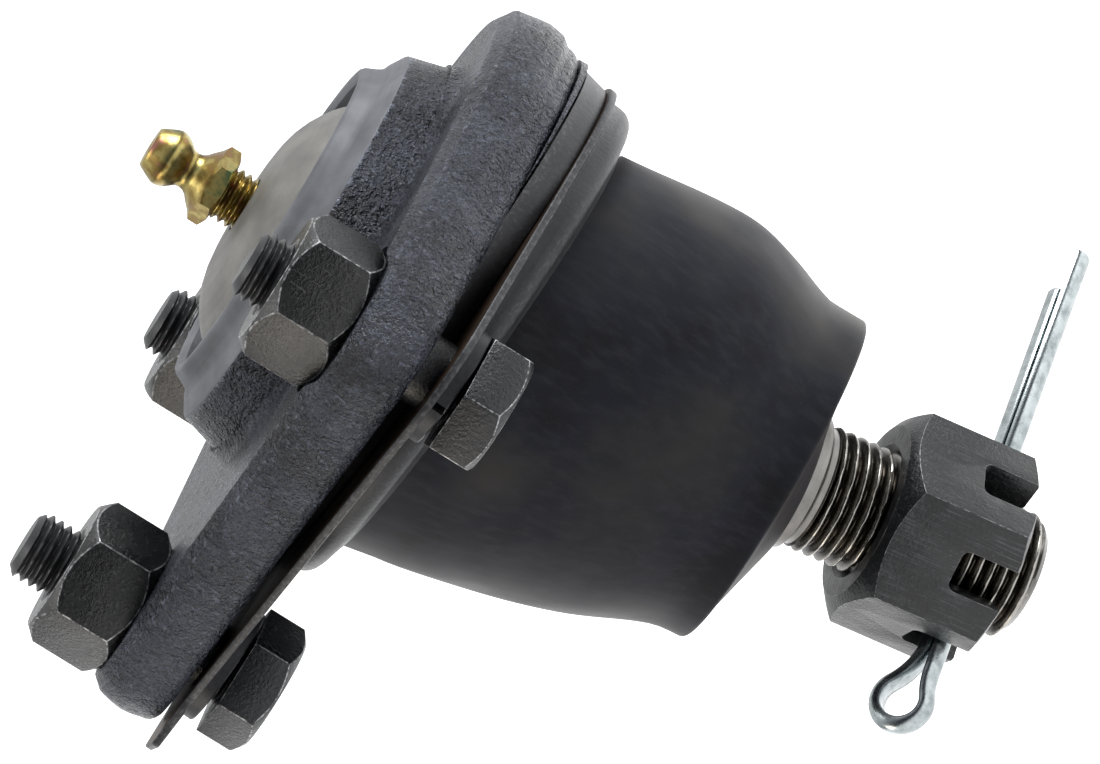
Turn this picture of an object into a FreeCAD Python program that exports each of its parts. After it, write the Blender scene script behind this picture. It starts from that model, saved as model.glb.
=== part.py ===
import FreeCAD, Part
import math
import os

from FreeCAD import Placement, Rotation, Vector

# A bolt-on suspension ball joint. Millimetres, +Z towards the domed cover.
# The origin is where the housing's axis meets the flange's upper face, on which
# the control arm is clamped. +X points at the long lobe of the flange.

# Flange and bolt layout
long_bolt_x = 43.5           # housing axis to the bolt in the long lobe
side_bolt_x = 10.2
side_bolt_y = 36.5
lobe_radius = 10.0
round_end_radius = 33.9      # flange behind the boss
flange_thickness = 8.35      # at the long bolt
underside_slope = 1.3        # degrees, thicker towards the round end
bevel_width = 2.6            # forged bevel round the upper face, behind the boss
lobe_bevel_width = 1.1
bevel_share = 0.14           # of the thickness
side_draft = 0.7             # sides lean in by this much above and below their widest line
widest_share = 0.52
flange_edge_round = 1.6      # along the underside
spot_face_radius = 9.0
flange_hole_radius = 4.2

# Housing, as radii and heights from the flange's upper face
boss_radius = 24.5
boss_fillet = 1.6
rim_edge_radius = 22.9
rim_edge_z = 6.0
rim_step_radius = 20.7
rim_step_z = 7.2
ridge_radius = 18.7
ridge_z = 9.55
ridge_inner_radius = 17.7
ridge_inner_z = 9.05
ridge_crest_mid = (19.25, 9.3)
ridge_foot = (19.65, 8.65)
bore_radius = 19.0
cover_seat_radius = 20.3
cover_seat_z = 4.9
brim_thickness = 2.45
neck_radius = 21.4
neck_bottom_z = -19.4
neck_chamfer = 1.0
mouth_lip_radius = 13.5
mouth_lip_thickness = 2.2
mouth_flare = 1.9            # the mouth opens by this much towards its lower edge
mouth_land = 1.0             # height of its straight part
overlap = 1.0                # how far shapes run into each other before they are joined or cut

# Cover
dome_top_z = 12.55
dome_flat_radius = 5.0
dome_shoulder = (11.3, 11.3)
dome_foot = (14.6, 9.0)
dome_fillet_mid = (15.35, 7.9)
dome_fillet_end_radius = 16.3
cover_wall = 2.3
cover_inside = ((14.0, 4.95), (12.9, 7.4), (10.3, 9.0))
press_gap = 0.05

# Ball stud, with lengths from the ball's centre along the stud
ball_radius = 13.5
ball_centre_z = -10.8
ball_flat_radius = 4.5
ball_clearance = 0.05
stud_neck_radius = 7.6
stud_neck_end = 16.0
taper_start = 21.5
taper_start_radius = 9.2
taper_end = 45.6
taper_end_radius = 7.7
groove_radius = 6.3
groove_run = 0.8             # its sides slope over this length
thread_start = 48.2
stud_thread_radius = 7.144
stud_end = 73.1
stud_end_chamfer = 1.5
stud_end_radius = 6.0
lean_deg = 12.3              # how the stud leans in the rest position
lean_azimuth_deg = 221.9     # and towards where
pin_azimuth_deg = 193.0      # the split pin's direction, before the lean

# Castle nut and split pin
castle_nut_af = 22.225
castle_nut_start = 53.7
castle_nut_height = 15.4
castle_slot_width = 4.76
castle_slot_depth = 6.7
castle_face_radius = 10.1
castle_corner_drop = 1.9
castle_far_inset = 0.1
castle_far_drop = 0.9
pin_hole_radius = 1.95
pin_hole_at = 66.3
pin_radius = 1.55
pin_leg_gap = 0.06
pin_long_leg = 37.5
pin_short_leg = 32.5
pin_eye_radius = 2.15
pin_eye_x = -18.4
pin_eye_flare = 9.0
pin_eye_offset = 1.4         # the eye bulges towards the boot
pin_tilt_deg = 2.1

# Bearings and preload washer
bearing_clearance = 0.05
bearing_split_gap = 0.2
upper_bearing_crown_z = 6.0
upper_bearing_crown_radius = 8.0
upper_bearing_shoulder_z = -2.5
upper_bearing_bevel_width = 1.5
upper_bearing_bevel_drop = 0.8
grease_passage_radius = 2.0
preload_inner_radius = 5.0
preload_outer_radius = 11.0
preload_thickness = 1.2
preload_rise = 1.3

# Grease fitting, heights from the flange's upper face
fitting_thread_radius = 3.15
fitting_bottom_z = 8.4
fitting_hex_z = 15.3
fitting_hex_height = 2.2
fitting_hex_af = 7.94
fitting_hex_inset = 0.1
fitting_hex_drop = 0.35
fitting_cone_radius = 3.7
fitting_neck_radius = 2.15
fitting_cone_height = 1.5
fitting_neck_z = 20.3
fitting_head_radius = 3.3
fitting_head_z = 22.3
fitting_top_z = 24.5
fitting_top_radius = 2.2
fitting_top_chamfer = (0.4, 0.3)
fitting_bore_radius = 1.35
fitting_mouth_radius = 0.75
fitting_throat_radius = 0.85
fitting_bore_end_z = 22.9
check_ball_radius = 1.2
check_spring_wire = 0.22     # radius
check_spring_turns = 4
check_spring_pieces = 10     # straight pieces in a turn
check_gap = 0.02
coil_clearance = 0.1         # beside the bore, and how far the coil reaches over the ball's foot

# Boot retainer: plate, cup and backing ring share one plane that tilts with the loose bolts
retainer_tilt_deg = 3.75
retainer_z_at_long_bolt = -9.45
retainer_thickness = 0.9
retainer_round_radius = 31.5
retainer_lobe_radius = 9.0
retainer_tip_x = 55.4
retainer_tip_half_width = 3.2
tip_shoulder_share = (0.3, 0.93)  # where the tip's sides leave the lobe, in lobe radii
retainer_hole_radius = 4.45
cup_radius = 30.35
cup_depth = 3.3
cup_bottom_drop = 0.6        # its bottom slopes down to the opening
cup_opening_radius = 26.1
cup_bend_radius = 1.9
ring_inner_radius = 22.6
ring_base_radius = 30.95
ring_rim_radius = 31.5
ring_height = 3.2
ring_thickness = 0.9
ring_lift = 0.05             # above the plate's upper face
ring_rim_land = 0.25
ring_inner_bend_share = 1.3
ring_recess_clearance = 0.3

# Boot
boot_bead_radius = 29.0
boot_bead_inner_radius = 22.5
boot_bead_height = 2.9
boot_bead_floor_gap = 0.15
boot_bell_into_bead = 0.5
boot_wall = 2.4
boot_neck_radius = 25.5
boot_top_circle_z = -19.5
boot_circles = 14
boot_lip_z = -52.6
boot_lip_tilt_deg = 1.6        # the lip's edge is lower towards +X
boot_lip_thickness = 3.4
lip_ring_gap = 0.35
lip_ring_width = 2.2
lip_ring_thickness = 2.6
lip_ring_at = 42.3
lip_bore_gap = 0.25

# Bolts, nuts and lock washers
bolt_radius = 3.97
bolt_length = 26.4
bolt_head_af = 13.3
bolt_head_height = 5.3
bolt_end_chamfer = 0.7
head_face_inset = 0.35
head_corner_drop = 1.0
nut_af = 15.2
nut_height = 9.2
nut_corner_drop = 1.5
nut_face_inset = 0.25
nut_bore_gap = 0.03
washer_inner_radius = 4.2
washer_outer_radius = 6.9
washer_thickness = 1.5
washer_split = 0.8
washer_split_slant = 25.0

HEX = 6
WASHER_SPLIT_DEG = {"front": 250.0, "left": 60.0, "right": 300.0}
BOLTS = {
    "front": (long_bolt_x, 0.0),
    "left": (side_bolt_x, side_bolt_y),
    "right": (side_bolt_x, -side_bolt_y),
}
SPOT_FACE_DEPTH = {"front": 0.1, "left": 0.9, "right": 0.1}
NUT_FLAT_DEG = {"front": 81.6, "left": 92.0, "right": 100.0}
HEAD_FLAT_DEG = {"front": 81.6, "left": 111.9, "right": 105.4}

retainer_z = retainer_z_at_long_bolt - long_bolt_x * math.tan(math.radians(retainer_tilt_deg))
retainer_place = Placement(Vector(0, 0, retainer_z), Rotation(Vector(0, 1, 0), -retainer_tilt_deg))
ball_centre = Vector(0, 0, ball_centre_z)


def underside_z(x):
    return -flange_thickness - (long_bolt_x - x) * math.tan(math.radians(underside_slope))


def retainer_top_z(x):
    return retainer_z_at_long_bolt - (long_bolt_x - x) * math.tan(math.radians(retainer_tilt_deg))


def stud_placement():
    """The turn about the ball's centre that brings a vertical stud to its rest position."""
    azimuth = math.radians(lean_azimuth_deg)
    towards = Vector(math.cos(azimuth), math.sin(azimuth), 0)
    axis = Vector(0, 0, -1).cross(towards)
    return Placement(ball_centre, Rotation(axis, lean_deg))


def on_stud(shape):
    """Move a piece that was built about the origin, hanging down -Z, onto the leaning stud."""
    shape.Placement = stud_placement().multiply(shape.Placement)
    return shape


def edges_of(points):
    """Edges through a profile: plain points give lines, and ("arc", middle, end) gives an arc."""
    edges = []
    last = Vector(points[0][0], 0, points[0][1])
    for item in points[1:]:
        if item[0] == "arc":
            middle = Vector(item[1][0], 0, item[1][1])
            end = Vector(item[2][0], 0, item[2][1])
            edges.append(Part.Arc(last, middle, end).toShape())
        else:
            end = Vector(item[0], 0, item[1])
            edges.append(Part.LineSegment(last, end).toShape())
        last = end
    return edges


def revolved(points):
    """A solid of revolution about Z from a closed profile of (radius, height) points."""
    face = Part.Face(Part.Wire(edges_of(points + [points[0]])))
    return face.revolve(Vector(0, 0, 0), Vector(0, 0, 1), 360)


def cylinder(radius, z0, z1, x=0.0, y=0.0):
    return Part.makeCylinder(radius, z1 - z0, Vector(x, y, z0))


def hull_wire(circles, z):
    """The outline round circles (x, y, radius), which are given anticlockwise: arcs and tangent lines."""
    count = len(circles)
    tangents = []
    for i in range(count):
        x1, y1, r1 = circles[i]
        x2, y2, r2 = circles[(i + 1) % count]
        length = math.hypot(x2 - x1, y2 - y1)
        dx, dy = (x2 - x1) / length, (y2 - y1) / length
        along = (r1 - r2) / length
        across = math.sqrt(1 - along * along)
        nx, ny = dx * along + dy * across, dy * along - dx * across
        tangents.append((Vector(x1 + r1 * nx, y1 + r1 * ny, z), Vector(x2 + r2 * nx, y2 + r2 * ny, z)))
    edges = []
    for i in range(count):
        x, y, r = circles[i]
        start, end = tangents[i - 1][1], tangents[i][0]
        a0 = math.atan2(start.y - y, start.x - x)
        a1 = math.atan2(end.y - y, end.x - x)
        if a1 <= a0:
            a1 += 2 * math.pi
        middle = Vector(x + r * math.cos((a0 + a1) / 2), y + r * math.sin((a0 + a1) / 2), z)
        edges.append(Part.Arc(start, middle, end).toShape())
        edges.append(Part.LineSegment(end, tangents[i][1]).toShape())
    return Part.Wire(edges)


def flange_outline(share, round_end_shrink, lobe_shrink):
    """The flange's outline at a share of its thickness, on a plane that tilts with the underside."""
    wire = hull_wire([
        (long_bolt_x, 0.0, lobe_radius - lobe_shrink),
        (side_bolt_x, side_bolt_y, lobe_radius - lobe_shrink),
        (0.0, 0.0, round_end_radius - round_end_shrink),
        (side_bolt_x, -side_bolt_y, lobe_radius - lobe_shrink),
    ], 0.0)
    wire.Placement = Placement(Vector(0, 0, share * underside_z(0.0)),
                               Rotation(Vector(0, 1, 0), -share * underside_slope))
    return wire


def make_flange():
    """Forged plate: a bevelled upper edge, sides that bulge at mid-height, and a sloping underside."""
    top = flange_outline(0.0, side_draft + bevel_width, side_draft + lobe_bevel_width)
    under_bevel = flange_outline(bevel_share, side_draft, side_draft)
    widest = flange_outline(widest_share, 0.0, 0.0)
    bottom = flange_outline(1.0, side_draft * 2, side_draft * 0.6)
    bevel = Part.makeLoft([top, under_bevel], True, True)
    sides = Part.makeLoft([under_bevel, widest, bottom], True, True)
    low = [e for e in sides.Edges if abs(e.BoundBox.Center.z - underside_z(e.BoundBox.Center.x)) < 0.3]
    return sides.makeFillet(flange_edge_round, low).fuse(bevel)


def make_housing():
    outside = revolved([
        (0, neck_bottom_z), (neck_radius - neck_chamfer, neck_bottom_z),
        (neck_radius, neck_bottom_z + neck_chamfer),
        (neck_radius, -overlap), (boss_radius, -overlap), (boss_radius, 0.0), (rim_edge_radius, rim_edge_z),
        (rim_step_radius, rim_step_z), ridge_foot,
        ("arc", ridge_crest_mid, (ridge_radius, ridge_z)), (ridge_inner_radius, ridge_inner_z),
        (ridge_inner_radius, 0.0), (0, 0.0),
    ])
    body = make_flange().fuse(outside)
    foot = [e for e in body.Edges if is_circle(e, boss_radius, 0.0)]
    body = body.makeFillet(boss_fillet, foot)
    lip_top = neck_bottom_z + mouth_lip_thickness
    brim_top = cover_seat_z + brim_thickness
    inside = revolved([
        (0, neck_bottom_z - overlap), (mouth_lip_radius + mouth_flare, neck_bottom_z - overlap),
        (mouth_lip_radius, lip_top - mouth_land),
        (mouth_lip_radius, lip_top), (bore_radius, lip_top), (bore_radius, cover_seat_z),
        (cover_seat_radius, cover_seat_z), (cover_seat_radius, brim_top), (ridge_inner_radius, brim_top),
        (ridge_inner_radius, ridge_z + overlap), (0, ridge_z + overlap),
    ])
    body = body.cut(inside)
    recess = cylinder(ring_rim_radius + ring_recess_clearance * 2, neck_bottom_z / 2,
                      ring_height + ring_recess_clearance)
    recess = recess.cut(cylinder(neck_radius, neck_bottom_z, -neck_bottom_z))
    recess.Placement = retainer_place
    keep = cylinder(neck_radius, neck_bottom_z, 0.0)
    body = body.cut(recess.cut(keep))
    for name, (x, y) in BOLTS.items():
        body = body.cut(cylinder(flange_hole_radius, neck_bottom_z, overlap, x, y))
        body = body.cut(cylinder(spot_face_radius, -SPOT_FACE_DEPTH[name], overlap, x, y))
    return body


def is_circle(edge, radius, z):
    curve = edge.Curve
    return (isinstance(curve, Part.Circle) and abs(curve.Radius - radius) < 1e-3
            and abs(curve.Center.z - z) < 1e-3 and math.hypot(curve.Center.x, curve.Center.y) < 1e-3)


def make_cover():
    brim_radius = cover_seat_radius - press_gap
    seat = cover_seat_z + press_gap
    brim_top = cover_seat_z + brim_thickness - press_gap
    inner_top = dome_top_z - cover_wall
    return revolved([
        (fitting_thread_radius + press_gap, dome_top_z), (dome_flat_radius, dome_top_z),
        ("arc", dome_shoulder, dome_foot),
        ("arc", dome_fillet_mid, (dome_fillet_end_radius, brim_top)),
        (brim_radius, brim_top), (brim_radius, seat), *cover_inside, (dome_flat_radius, inner_top),
        (fitting_thread_radius + press_gap, inner_top),
    ])


def make_bearing_shells():
    """Two halves round the ball: the lower one carries the load, the upper one is pressed down on it."""
    seat_radius = ball_radius + ball_clearance
    outer = bore_radius - bearing_clearance
    low_z = neck_bottom_z + mouth_lip_thickness + press_gap
    split_low = ball_centre_z - bearing_split_gap / 2
    split_high = ball_centre_z + bearing_split_gap / 2
    ball_space = Part.makeSphere(seat_radius, ball_centre)
    lower = cylinder(outer, low_z, split_low).cut(ball_space)
    upper = revolved([
        (grease_passage_radius, split_high), (outer, split_high), (outer, upper_bearing_shoulder_z),
        (upper_bearing_crown_radius + upper_bearing_bevel_width, upper_bearing_crown_z - upper_bearing_bevel_drop),
        (upper_bearing_crown_radius, upper_bearing_crown_z), (grease_passage_radius, upper_bearing_crown_z),
    ]).cut(ball_space)
    return lower, upper


def make_preload_washer():
    low = upper_bearing_crown_z
    return revolved([
        (preload_inner_radius, low), (preload_outer_radius, low + preload_rise),
        (preload_outer_radius, low + preload_rise + preload_thickness),
        (preload_inner_radius, low + preload_thickness),
    ])


def make_ball_stud():
    flat_z = math.sqrt(ball_radius ** 2 - ball_flat_radius ** 2)
    neck_z = -math.sqrt(ball_radius ** 2 - stud_neck_radius ** 2)
    stud = revolved([
        (0, flat_z), (ball_flat_radius, flat_z), ("arc", (ball_radius, 0), (stud_neck_radius, neck_z)),
        (stud_neck_radius, -stud_neck_end), (taper_start_radius, -taper_start), (taper_end_radius, -taper_end),
        (groove_radius, -taper_end - groove_run), (groove_radius, -thread_start + groove_run),
        (stud_thread_radius, -thread_start), (stud_thread_radius, -stud_end + stud_end_chamfer),
        (stud_end_radius, -stud_end), (0, -stud_end),
    ])
    hole = Part.makeCylinder(pin_hole_radius, 4 * stud_thread_radius,
                             Vector(-2 * stud_thread_radius, 0, -pin_hole_at), Vector(1, 0, 0))
    stud = stud.cut(hole)
    return on_stud(turned(stud, pin_azimuth_deg))


def turned(shape, degrees):
    shape = shape.copy()
    shape.rotate(Vector(0, 0, 0), Vector(0, 0, 1), degrees)
    return shape


def hex_prism(across_flats, z0, z1, turn_deg=0.0):
    """A hexagonal bar with a flat facing the direction turn_deg."""
    corner = across_flats / math.sqrt(3)
    angles = [math.radians(turn_deg + 30 + 60 * i) for i in range(HEX)]
    points = [Vector(corner * math.cos(a), corner * math.sin(a), z0) for a in angles]
    face = Part.Face(Part.makePolygon(points + [points[0]]))
    return face.extrude(Vector(0, 0, z1 - z0))


def hex_with_chamfers(across_flats, z0, z1, turn_deg, top_chamfer, bottom_chamfer):
    """A hexagon whose corners are turned off at its ends; each chamfer is (face radius, drop at the corner)."""
    corner = across_flats / math.sqrt(3) + press_gap
    top_r, top_drop = top_chamfer if top_chamfer else (corner, 0.0)
    low_r, low_drop = bottom_chamfer if bottom_chamfer else (corner, 0.0)
    points = [(0, z0), (low_r, z0)]
    if bottom_chamfer:
        points.append((corner, z0 + low_drop))
    if top_chamfer:
        points.append((corner, z1 - top_drop))
    points += [(top_r, z1), (0, z1)]
    return hex_prism(across_flats, z0, z1, turn_deg).common(revolved(points))


def make_castle_nut():
    far_end = castle_nut_start + castle_nut_height
    far_face = castle_nut_af / 2 - castle_far_inset
    nut = hex_with_chamfers(castle_nut_af, -far_end, -castle_nut_start, 0.0,
                            (castle_face_radius, castle_corner_drop), (far_face, castle_far_drop))
    nut = nut.cut(cylinder(stud_thread_radius + nut_bore_gap, -far_end - overlap, -castle_nut_start + overlap))
    for i in range(HEX // 2):
        slot = Part.makeBox(2 * castle_nut_af, castle_slot_width, castle_slot_depth + overlap,
                            Vector(-castle_nut_af, -castle_slot_width / 2, -far_end - overlap))
        nut = nut.cut(turned(slot, 60 * i))
    return on_stud(turned(nut, pin_azimuth_deg))


def make_split_pin():
    """Half-round wire bent double: two legs with their flats together and an open eye to one side."""
    eye = Vector(pin_eye_x, 0, pin_eye_offset)
    arm = pin_eye_radius + pin_eye_flare

    def flare(s):
        """The bend from the leg on the side s out to the eye, as its start, middle and end."""
        height = s * (pin_leg_gap + pin_eye_flare)
        centre = Vector(pin_eye_x + math.sqrt(arm ** 2 - (height - pin_eye_offset) ** 2), 0, height)
        start = Vector(centre.x, 0, s * pin_leg_gap)
        end = eye + (centre - eye).normalize() * pin_eye_radius
        half_way = (start - centre).normalize() + (end - centre).normalize()
        return start, centre + half_way.normalize() * pin_eye_flare, end

    near_start, near_middle, near_end = flare(1)
    far_start, far_middle, far_end = flare(-1)
    path = Part.Wire([
        Part.LineSegment(Vector(pin_short_leg, 0, pin_leg_gap), near_start).toShape(),
        Part.Arc(near_start, near_middle, near_end).toShape(),
        Part.Arc(near_end, eye - Vector(pin_eye_radius, 0, 0), far_end).toShape(),
        Part.Arc(far_end, far_middle, far_start).toShape(),
        Part.LineSegment(far_start, Vector(pin_long_leg, 0, -pin_leg_gap)).toShape(),
    ])
    flat = Vector(0, pin_radius, 0)
    start = Vector(pin_short_leg, 0, pin_leg_gap)
    outline = Part.Wire([
        Part.LineSegment(start - flat, start + flat).toShape(),
        Part.Arc(start + flat, start + Vector(0, 0, pin_radius), start - flat).toShape(),
    ])
    pin = path.makePipeShell([outline], True, False)
    pin.rotate(Vector(0, 0, 0), Vector(0, 1, 0), pin_tilt_deg)
    pin.translate(Vector(0, 0, -pin_hole_at))
    return on_stud(turned(pin, pin_azimuth_deg))


def make_grease_fitting():
    hex_top = fitting_hex_z + fitting_hex_height
    body = revolved([
        (0, fitting_bottom_z), (fitting_thread_radius, fitting_bottom_z), (fitting_thread_radius, fitting_hex_z),
        (fitting_cone_radius, fitting_hex_z), (fitting_cone_radius, hex_top),
        (fitting_neck_radius, hex_top + fitting_cone_height), (fitting_neck_radius, fitting_neck_z),
        ("arc", (fitting_head_radius, fitting_head_z), (fitting_top_radius, fitting_top_z - fitting_top_chamfer[1])),
        (fitting_top_radius - fitting_top_chamfer[0], fitting_top_z), (0, fitting_top_z),
    ])
    chamfer = (fitting_hex_af / 2 - fitting_hex_inset, fitting_hex_drop)
    body = body.fuse(hex_with_chamfers(fitting_hex_af, fitting_hex_z, hex_top, 20.0, chamfer, chamfer))
    throat = cylinder(fitting_throat_radius, fitting_bottom_z - overlap, fitting_hex_z)
    passage = cylinder(fitting_bore_radius, fitting_hex_z, fitting_bore_end_z)
    mouth = cylinder(fitting_mouth_radius, fitting_head_z, fitting_top_z + overlap)
    return body.cut(throat).cut(passage).cut(mouth)


def make_check_valve():
    """The ball that closes the fitting's mouth, and the spring that holds it up."""
    ball_z = fitting_bore_end_z - check_ball_radius - check_gap
    ball = Part.makeSphere(check_ball_radius, Vector(0, 0, ball_z))
    wire = check_spring_wire
    coil_low = fitting_hex_z + wire + check_gap
    coil_high = ball_z - check_ball_radius + coil_clearance
    return ball, coil_spring(fitting_bore_radius - wire - coil_clearance, wire, coil_low, coil_high)


def coil_spring(coil_radius, wire, low, high):
    """A coil of square wire in short straight pieces, few enough to keep the piece light."""
    count = check_spring_turns * check_spring_pieces
    rings = []
    for k in range(count + 1):
        angle = 2 * math.pi * k / check_spring_pieces
        z = low + (high - low) * k / count
        rings.append([Vector((coil_radius + dr) * math.cos(angle), (coil_radius + dr) * math.sin(angle), z + dz)
                      for dr, dz in ((-wire, -wire), (wire, -wire), (wire, wire), (-wire, wire))])
    corners = []
    for ring, after in zip(rings, rings[1:]):
        for i in range(4):
            j = (i + 1) % 4
            corners.append((ring[i], ring[j], after[j]))
            corners.append((ring[i], after[j], after[i]))
    for end in (rings[0], rings[-1]):
        corners.append((end[0], end[1], end[2]))
        corners.append((end[0], end[2], end[3]))
    faces = [Part.Face(Part.makePolygon([a, b, c, a])) for a, b, c in corners]
    solid = Part.Solid(Part.Shell(faces))
    if solid.Volume < 0:
        solid.reverse()
    return solid


def retainer_circles():
    turn = math.cos(math.radians(retainer_tilt_deg))
    return [
        (long_bolt_x / turn, 0.0, retainer_lobe_radius),
        (side_bolt_x / turn, side_bolt_y, retainer_lobe_radius),
        (0.0, 0.0, retainer_round_radius),
        (side_bolt_x / turn, -side_bolt_y, retainer_lobe_radius),
    ]


def make_retainer_plate():
    """Stamped plate with the flange's outline and a drawn cup that holds the boot's bead."""
    outline = hull_wire(retainer_circles(), -retainer_thickness)
    plate = Part.Face(outline).extrude(Vector(0, 0, retainer_thickness))
    shoulder_x = long_bolt_x + tip_shoulder_share[0] * retainer_lobe_radius
    shoulder_y = tip_shoulder_share[1] * retainer_lobe_radius
    tip = Part.Face(Part.makePolygon([
        Vector(shoulder_x, -shoulder_y, -retainer_thickness),
        Vector(retainer_tip_x, -retainer_tip_half_width, -retainer_thickness),
        Vector(retainer_tip_x, retainer_tip_half_width, -retainer_thickness),
        Vector(shoulder_x, shoulder_y, -retainer_thickness),
        Vector(shoulder_x, -shoulder_y, -retainer_thickness),
    ])).extrude(Vector(0, 0, retainer_thickness))
    bottom = -retainer_thickness - cup_depth
    inner = cup_radius - retainer_thickness
    bend = cup_bend_radius
    near = bend * (1 - math.sqrt(0.5))
    cup = revolved([
        (cup_radius, 0), (cup_radius, bottom + bend),
        ("arc", (cup_radius - near, bottom + near), (cup_radius - bend, bottom)),
        (cup_opening_radius, bottom - cup_bottom_drop),
        (cup_opening_radius, bottom - cup_bottom_drop + retainer_thickness),
        (inner, bottom + retainer_thickness), (inner, 0),
    ])
    opening = cylinder(cup_radius - retainer_thickness / 2, -retainer_thickness - overlap, overlap)
    plate = plate.fuse(tip).cut(opening).fuse(cup).removeSplitter()
    turn = math.cos(math.radians(retainer_tilt_deg))
    for x, y in BOLTS.values():
        plate = plate.cut(cylinder(retainer_hole_radius, -retainer_thickness - overlap, overlap, x / turn, y))
    plate.Placement = retainer_place
    return plate


def make_backing_ring():
    """Dished ring over the boot's bead, with a flared wall that ends in a sharp rim."""
    t = ring_thickness
    ring = revolved([
        (ring_inner_radius, ring_lift), (ring_base_radius, ring_lift), (ring_rim_radius, ring_height),
        (ring_rim_radius - ring_rim_land, ring_height), (ring_base_radius - t * ring_inner_bend_share, t + ring_lift),
        (ring_inner_radius, t + ring_lift),
    ])
    ring.Placement = retainer_place
    return ring


def boot_knots():
    """Circles of the boot's outer surface, from the cup down: (height, shift towards the stud, radius)."""
    return [
        (-16.5, 0.2, 25.5),
        (-22.0, 1.3, 25.4),
        (-31.0, 3.9, 24.95),
        (-36.5, 5.3, 24.25),
        (-41.5, 5.9, 22.75),
        (-47.2, 6.65, 20.45),
        (-49.6, 7.3, 19.95),
        (boot_lip_z, 7.65, 19.8),
    ]


def boot_circle_at(z):
    """Shift and radius of the boot at a height, on smooth curves through the knots."""
    knots = boot_knots()
    i = max(k for k in range(len(knots) - 1) if knots[k][0] >= z or k == 0)
    before, left, right, after = (knots[max(i - 1, 0)], knots[i], knots[i + 1], knots[min(i + 2, len(knots) - 1)])
    span = right[0] - left[0]
    t = (z - left[0]) / span
    values = []
    for k in (1, 2):
        slope_left = (right[k] - before[k]) / (right[0] - before[0]) * span
        slope_right = (after[k] - left[k]) / (after[0] - left[0]) * span
        values.append(left[k] * (2 * t ** 3 - 3 * t ** 2 + 1) + slope_left * (t ** 3 - 2 * t ** 2 + t)
                      + right[k] * (3 * t ** 2 - 2 * t ** 3) + slope_right * (t ** 3 - t ** 2))
    return values


def boot_bell(shrink, top, floor):
    """The boot's bell from circles that follow the leaning stud.

    A floor thicker than zero ends the bell that far above the lip, as the inner surface does.
    """
    cup_bottom = -retainer_thickness - cup_depth - cup_bottom_drop
    wires = [ring_wire(boot_neck_radius - shrink, retainer_place.multiply(Placement(Vector(0, 0, z), Rotation())))
             for z in (top, cup_bottom)]
    azimuth = math.radians(lean_azimuth_deg)
    towards_stud = Vector(math.cos(azimuth), math.sin(azimuth), 0)
    end_z = boot_lip_z + floor
    heights = [boot_top_circle_z + (end_z - boot_top_circle_z) * k / boot_circles for k in range(boot_circles + 1)]
    for z in heights:
        shift, radius = boot_circle_at(z)
        tilt = boot_lip_tilt_deg if z == heights[-1] else 0.0
        place = Placement(towards_stud * shift + Vector(0, 0, z), Rotation(Vector(0, 1, 0), tilt))
        wires.append(ring_wire(radius - shrink, place))
    return Part.makeLoft(wires, True, True)


def ring_wire(radius, place):
    wire = Part.Wire(Part.makeCircle(radius))
    wire.Placement = place
    return wire


def make_boot():
    bead_low = -cup_depth + boot_bead_floor_gap
    bead = revolved([
        (boot_bead_inner_radius, bead_low), (boot_bead_radius, bead_low),
        (boot_bead_radius, bead_low + boot_bead_height), (boot_bead_inner_radius, bead_low + boot_bead_height),
    ])
    bead.Placement = retainer_place
    outer = boot_bell(0.0, bead_low + boot_bell_into_bead, 0.0)
    inner = boot_bell(boot_wall, bead_low + boot_bell_into_bead, boot_lip_thickness)
    boot = outer.fuse(bead).cut(inner)
    opening = cylinder(lip_ring_outer() + lip_ring_gap, -stud_end, -taper_start)
    return boot.cut(on_stud(opening))


def stud_taper_radius(at):
    share = (at - taper_start) / (taper_end - taper_start)
    return taper_start_radius + (taper_end_radius - taper_start_radius) * share


def lip_ring_outer():
    return stud_taper_radius(lip_ring_at - lip_ring_thickness / 2) + lip_bore_gap + lip_ring_width


def make_lip_ring():
    """Stiff ring inside the boot's lip, which turns on the stud's taper."""
    high, low = lip_ring_at - lip_ring_thickness / 2, lip_ring_at + lip_ring_thickness / 2
    outer = lip_ring_outer()
    ring = revolved([
        (stud_taper_radius(high) + lip_bore_gap, -high), (outer, -high), (outer, -low),
        (stud_taper_radius(low) + lip_bore_gap, -low),
    ])
    return on_stud(ring)


def washer_bottom_z(x):
    """The lowest point of the tilted lock washer at the bolt that stands at x."""
    turn = math.radians(retainer_tilt_deg)
    under = retainer_top_z(x) - (retainer_thickness + washer_thickness) / math.cos(turn)
    return under - washer_outer_radius * math.tan(turn) - press_gap


def make_bolt(name):
    x, y = BOLTS[name]
    seat_z = washer_bottom_z(x)
    head = hex_with_chamfers(bolt_head_af, -bolt_head_height, 0.0, HEAD_FLAT_DEG[name],
                             None, (bolt_head_af / 2 - head_face_inset, head_corner_drop))
    shank = revolved([
        (0, -overlap), (bolt_radius, -overlap), (bolt_radius, bolt_length - bolt_end_chamfer),
        (bolt_radius - bolt_end_chamfer, bolt_length), (0, bolt_length),
    ])
    bolt = head.fuse(shank).removeSplitter()
    bolt.translate(Vector(x, y, seat_z))
    return bolt


def make_nut(name):
    x, y = BOLTS[name]
    chamfer = (nut_af / 2 - nut_face_inset, nut_corner_drop)
    nut = hex_with_chamfers(nut_af, 0.0, nut_height, NUT_FLAT_DEG[name], chamfer, chamfer)
    nut = nut.cut(cylinder(bolt_radius + nut_bore_gap, -overlap, nut_height + overlap))
    nut.translate(Vector(x, y, -SPOT_FACE_DEPTH[name]))
    return nut


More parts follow.
